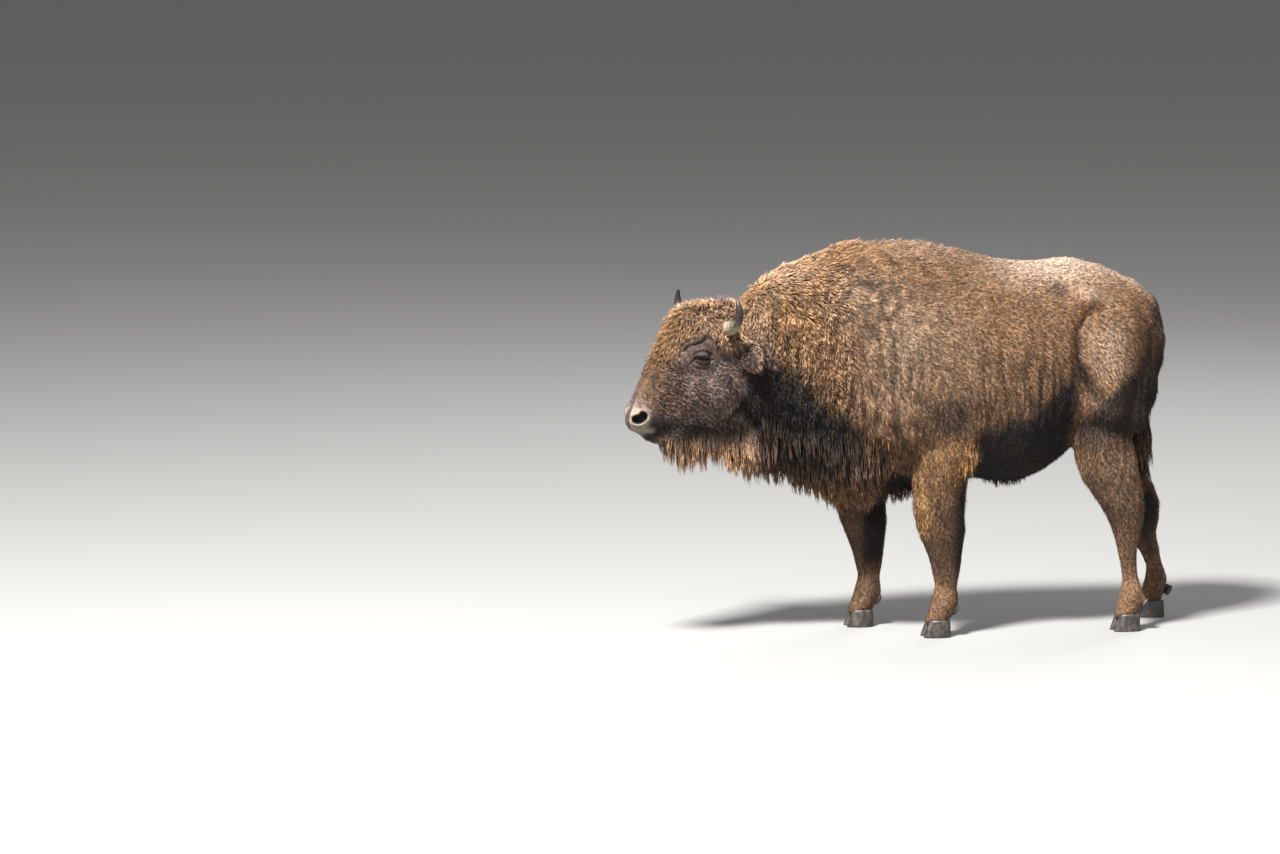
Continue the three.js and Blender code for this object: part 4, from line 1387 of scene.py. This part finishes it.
# The horn curves out, then up, then in at the tip: places and radius in the head's frame.
HORN = [
    (0.060, -0.141, 0.100, 0.027), (0.096, -0.146, 0.106, 0.028), (0.150, -0.154, 0.118, 0.0265),
    (0.201, -0.164, 0.140, 0.0215), (0.228, -0.169, 0.168, 0.0168), (0.233, -0.171, 0.200, 0.0118),
    (0.221, -0.175, 0.237, 0.0038),
]


def horn_material():
    """Horn sheath: pale grey-beige and rough at the base, polished black to the tip, grooved lengthways."""
    made, tree, surface = material("horn sheath", 0.5, 0.4)
    along = add(tree, "Attribute", {"attribute_name": "along"}, "Fac")
    fibre = grain(tree, (1, 1, 0.4), 0.006, 3.0, 0.6)
    fine = add(tree, "MapRange", _0=fibre, _1=0.3, _2=0.7)
    mottle = grain(tree, (1, 1, 1), 0.022)
    base = add(tree, "Mix", MIX, 2, _0=fine, _6="#5f5549", _7="#a3957f")
    groove = add(tree, "Attribute", {"attribute_name": "groove"}, "Fac")
    cracked = add(tree, "Math", TIMES, _0=groove, _1=add(tree, "MapRange", _0=mottle, _1=0.4, _2=0.6))
    base = add(tree, "Mix", MIX, 2, _0=cracked, _6=base, _7="#3a322a")
    tip = add(tree, "Mix", MIX, 2, _0=fine, _6="#110e0d", _7="#2f2824")
    uneven = add(tree, "Math", TIMES, _0=add(tree, "Math", MINUS, _0=mottle, _1=0.5), _1=0.30)
    edge = add(tree, "Math", PLUS, _0=along, _1=uneven)
    change = add(tree, "MapRange", _0=edge, _1=0.40, _2=0.62)
    colour = add(tree, "Mix", MIX, 2, _0=change, _6=base, _7=tip)
    polish = add(tree, "MapRange", _0=edge, _1=0.4, _2=0.7, _3=0.62, _4=0.36)
    bump = add(tree, "Bump", Strength=0.4, Distance=0.0015, Height=fibre)
    join(surface, Base_Color=colour, Roughness=polish, Normal=bump)
    return made


HORN_PAINT = horn_material()
HORN_STEPS, HORN_SIDES = 64, 28
RING_SWELL = 0.035  # how much a growth ring stands out, as a share of the horn's radius


def make_horn(side, name):
    path = curve_through(HORN, HORN_STEPS)
    share = np.linspace(0, 1, HORN_STEPS)
    # Growth rings swell the lower half.
    turns = 13 * share + 0.6 * np.sin(share * 19)
    rings = 1 + RING_SWELL * np.sin(math.tau * turns) * ease(0.55, 0.30, share)
    places = from_head(path[:, :3] * (side, 1, 1))
    shape = bmesh.new()
    loft(shape, [Vector(p) for p in places], list(path[:, 3] * rings), HORN_SIDES)
    piece = finished(name, shape, HORN_PAINT, [name])
    mesh = piece.data
    near = nearest_of(spots(mesh), places)
    above = most(0, normals_of(mesh)[:, 2])
    # Upward-facing surfaces take the dark tip colour sooner: painted shade on the upper side of the horn.
    set_float(mesh, "along", share[near] + 0.10 * above * ease(0.20, 0.40, share[near]))
    set_float(mesh, "groove", (1 - rings[near]) / RING_SWELL)


def eye_material():
    """Eye: a wet ball, dark brown with a level oval pupil."""
    made, tree, surface = material("wisent eye", 0.06, 0.12)
    flat = add(tree, "UVMap", {"uv_map": "gaze"})
    centred = add(tree, "VectorMath", MINUS, _0=flat, _1=(0.5, 0.5, 0))
    oval = add(tree, "VectorMath", TIMES, _0=centred, _1=(1, 1.9, 0))
    pupil = add(tree, "VectorMath", {"operation": "LENGTH"}, "Value", _0=oval)
    iris = add(tree, "VectorMath", {"operation": "LENGTH"}, "Value", _0=centred)
    fibres = grain(tree, (1, 1, 1), 0.002)
    brown = add(tree, "Mix", MIX, 2, _0=fibres, _6="#0b0504", _7="#160b07")
    rim = add(tree, "MapRange", _0=pupil, _1=0.15, _2=0.17)
    colour = add(tree, "Mix", MIX, 2, _0=rim, _6="#050404", _7=brown)
    ring = add(tree, "MapRange", _0=iris, _1=0.30, _2=0.335)
    colour = add(tree, "Mix", MIX, 2, _0=ring, _6=colour, _7="#120b09")
    white = add(tree, "MapRange", _0=iris, _1=0.39, _2=0.47)
    colour = add(tree, "Mix", MIX, 2, _0=white, _6=colour, _7="#1d1513")
    join(surface, Base_Color=colour)
    return made


def lid_material():
    """The lid's edge: hairless, nearly black and moist."""
    made, tree, surface = material("wisent lid edge", 0.6, 0.15)
    fine = grain(tree, (1, 1, 1), 0.003, 3.0, 0.6)
    colour = add(tree, "Mix", MIX, 2, _0=fine, _6="#0f0c0c", _7="#2f2726")
    bump = add(tree, "Bump", Strength=0.5, Distance=0.0006, Height=fine)
    join(surface, Base_Color=colour, Normal=bump)
    return made


EYE_PAINT, LID_PAINT = eye_material(), lid_material()
LID_REACH = EYE_RADIUS + 0.0018  # how far the lids' edges stand from the middle of the eye


def at_eye(out, along, up, side):
    """A place given from the middle of the eye, in the model's frame."""
    outward, back, above = EYE_AXES
    spot = np.array(EYE_AT) + out * outward + along * back + up * above
    return Vector(from_head(spot[None] * (side, 1, 1))[0])


def make_eye(side, name):
    shape = bmesh.new()
    bmesh.ops.create_uvsphere(shape, u_segments=40, v_segments=28, radius=1)
    gaze = shape.loops.layers.uv.new("gaze")
    for face in shape.faces:
        for corner in face.loops:
            corner[gaze].uv = (0.5 + corner.vert.co.x / 2, 0.5 + corner.vert.co.y / 2)
    for vertex in shape.verts:
        along, up, out = vertex.co
        clear = 1 + 0.05 * float(ease(0.82, 0.97, out))
        vertex.co = at_eye(out * EYE_RADIUS * clear, along * EYE_RADIUS, up * EYE_RADIUS, side)
    finished(name, shape, EYE_PAINT, [name])

    # The moist edge of both lids.
    turns = np.linspace(0, math.tau, 57)[:-1]
    along = SLIT_LENGTH / 2 * np.cos(turns)
    up = slit(along) * np.sign(np.sin(turns)) + slit_middle(along)
    out = np.sqrt(most(LID_REACH**2 - along**2 - up**2, 0))
    rim = [at_eye(o, a, u, side) for o, a, u in zip(out, along, up)]
    shape = bmesh.new()
    loft(shape, rim, [0.0013] * len(rim), 8, closed=True)
    # Lashes: long over the eye, drooping across it, and short below.
    rng = np.random.default_rng(7)
    outward, back, above = EYE_AXES
    upper = [(place_on, 1) for place_on in np.linspace(-0.9, 0.9, 34)]
    lower = [(place_on, -1) for place_on in np.linspace(-0.7, 0.7, 16)]
    for place_on, over in upper + lower:
        a = place_on * SLIT_LENGTH / 2
        u = slit(a) * over + slit_middle(a)
        o = math.sqrt(LID_REACH**2 - a**2 - u**2)
        long = (0.015 if over > 0 else 0.006) * rng.uniform(0.8, 1.2)
        droop = -0.62 if over > 0 else -0.5
        sideways = 0.5 * place_on + rng.normal(0, 0.08)
        aim = outward * 0.8 + back * sideways + above * (droop + rng.normal(0, 0.06))
        root = at_eye(o, a, u, side)
        tip = at_eye(o + aim @ outward * long, a + aim @ back * long, u + aim @ above * long, side)
        turn = (tip - root).to_track_quat("Z", "Y").to_matrix().to_4x4()
        bmesh.ops.create_cone(
            shape, cap_ends=True, segments=4, radius1=0.0006, radius2=0, depth=(tip - root).length,
            matrix=Matrix.Translation((tip + root) / 2) @ turn,
        )
    finished("lid_edge_" + name.split("_")[1], shape, LID_PAINT)


def hoof_material():
    """Hoof horn: slate black, ridged level by growth, scuffed paler in patches."""
    made, tree, surface = material("hoof horn", 0.5, 0.45)
    ridges = grain(tree, (0.15, 0.15, 1), 0.006)
    scuffs = grain(tree, (1, 1, 0.5), 0.018, 4.0, 0.6)
    worn = add(tree, "MapRange", _0=scuffs, _1=0.42, _2=0.75)
    ridged = add(tree, "MapRange", _0=ridges, _1=0.3, _2=0.7, _4=0.35)
    colour = add(tree, "Mix", MIX, 2, _0=worn, _6="#1e1a18", _7="#51483f")
    colour = add(tree, "Mix", MIX, 2, _0=ridged, _6=colour, _7="#37302b")
    polish = add(tree, "MapRange", _0=scuffs, _1=0.3, _2=0.7, _3=0.36, _4=0.62)
    bump = add(tree, "Bump", Strength=0.6, Distance=0.0015, Height=ridges)
    join(surface, Base_Color=colour, Roughness=polish, Normal=bump)
    return made


HOOF_PAINT = hoof_material()
# A claw's girth at shares of its height, and how blunt it is: 2 would be an ellipse.
HOOF_LEVELS = [
    (0, 0.965), (0.03, 0.995), (0.10, 1.0), (0.35, 0.93), (0.6, 0.85),
    (0.8, 0.79), (0.9, 0.77), (0.97, 0.70), (1, 0.5),
]
BLUNT = 2.6


def make_hoof(name, inner):
    """One claw: flat sole, sloping toe wall, low heel, rounded coronet."""
    low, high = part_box(name)
    centre, size = (low + high) / 2, high - low
    out = 1 if (centre.x > ORIGIN.x) != inner else -1
    shape = bmesh.new()
    rings = []
    for height, scale in HOOF_LEVELS:
        made = bmesh.ops.create_circle(shape, segments=36, radius=0.5)["verts"]
        for vertex in made:
            across, length = vertex.co.x * 2, vertex.co.y * 2
            # Blunter than an ellipse, narrowing to the toe, flatter on the side of the cleft.
            round_off = 1 / max(abs(across) ** BLUNT + abs(length) ** BLUNT, 1e-6) ** (1 / BLUNT)
            across, length = across * round_off, length * round_off
            across *= 1 - 0.26 * max(0, -length) ** 1.5
            if across * out < 0:
                across *= 0.86
            grown = 1 + 0.012 * math.sin(height * 34)
            slope = 0.16 * height
            x = centre.x + across * size.x / 2 * (0.5 + 0.5 * scale) * grown
            y = centre.y + (length * scale + slope * 1.35) * size.y / 2 * grown
            vertex.co = (x, min(y, high.y), low.z + height * size.z * 1.10)
        rings.append(made)
    loops = [list({e for v in ring for e in v.link_edges}) for ring in rings]
    for first, second in zip(loops, loops[1:]):
        bmesh.ops.bridge_loops(shape, edges=first + second)
    for end in (loops[0], loops[-1]):
        bmesh.ops.contextual_create(shape, geom=end)
    finished(name, shape, HOOF_PAINT, [name])


def make_dewclaws(leg):
    """The two small false hooves behind each pastern."""
    shape = bmesh.new()
    for where in ("inner", "outer"):
        low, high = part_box(f"hoof_{leg}_{where}")
        centre = (low + high) / 2
        other_low, other_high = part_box(f"hoof_{leg}_{'outer' if where == 'inner' else 'inner'}")
        middle_x = (centre.x + (other_low.x + other_high.x) / 2) / 2
        lean = Matrix.Translation((middle_x + (centre.x - middle_x) * 0.72, centre.y + 0.074, 0.104))
        ball_of = Matrix.Rotation(math.radians(-30), 4, "X") @ Matrix.Diagonal((0.011, 0.011, 0.022, 1))
        bmesh.ops.create_uvsphere(shape, u_segments=16, v_segments=12, radius=1, matrix=lean @ ball_of)
    finished("dewclaws_" + leg, shape, HOOF_PAINT)


for side, name in ((1, "left"), (-1, "right")):
    make_horn(side, "horn_" + name)
    make_eye(side, "eye_" + name)
for leg in LEGS:
    make_hoof(f"hoof_{leg}_inner", True)
    make_hoof(f"hoof_{leg}_outer", False)
    make_dewclaws(leg)

# ---- Camera, floor and light ----

TARGET = ORIGIN + Vector((0, 0, 0.8))
AZIMUTH, ELEVATION, DISTANCE = math.radians(78), math.radians(7), 22.0
SENSOR, LENS = 36.0, 159.7  # millimetres
ASIDE = 0.988  # how far to the left of her the camera stands, which puts her on the right of the view


def add_camera():
    level = math.cos(ELEVATION)
    back = Vector((math.sin(AZIMUTH) * level, -math.cos(AZIMUTH) * level, math.sin(ELEVATION)))
    right = Vector((math.cos(AZIMUTH), math.sin(AZIMUTH), 0))
    data = bpy.data.cameras.new("camera")
    data.sensor_width, data.lens = SENSOR, LENS
    data.clip_end = 200
    camera = object_of("camera", data)
    camera.location = TARGET - right * ASIDE + back * DISTANCE
    camera.rotation_euler = back.to_track_quat("Z", "Y").to_euler()
    bpy.context.scene.camera = camera


def add_stage():
    shape = bmesh.new()
    bmesh.ops.create_grid(shape, x_segments=1, y_segments=1, size=90)
    mesh = stored(shape, bpy.data.meshes.new("floor"))
    floor = object_of("floor", mesh)
    paint, _, surface = material("studio floor", 0.9, 0.2)
    join(surface, Base_Color="#81807e")
    mesh.materials.append(paint)
    world = bpy.data.worlds.new("studio")
    bpy.context.scene.world = world
    world.use_nodes = True
    join(world.node_tree.nodes["Background"], Color="#fafcff", Strength=0.42)
    for name, spot, size, power in (
        ("key", (5.5, -5.0, 10.5), 2.0, 7400),
        ("fill", (10, 4, 3.5), 6.0, 260),
        ("rim", (-6, 5, 7), 4.0, 500),
    ):
        data = bpy.data.lights.new(name, "AREA")
        data.size, data.energy = size, power
        lamp = object_of(name, data)
        lamp.location = spot
        lamp.rotation_euler = (Vector(spot) - Vector((0, 0, 0.8))).to_track_quat("Z", "Y").to_euler()


add_camera()
add_stage()
bpy.context.scene.view_settings.view_transform = "Standard"
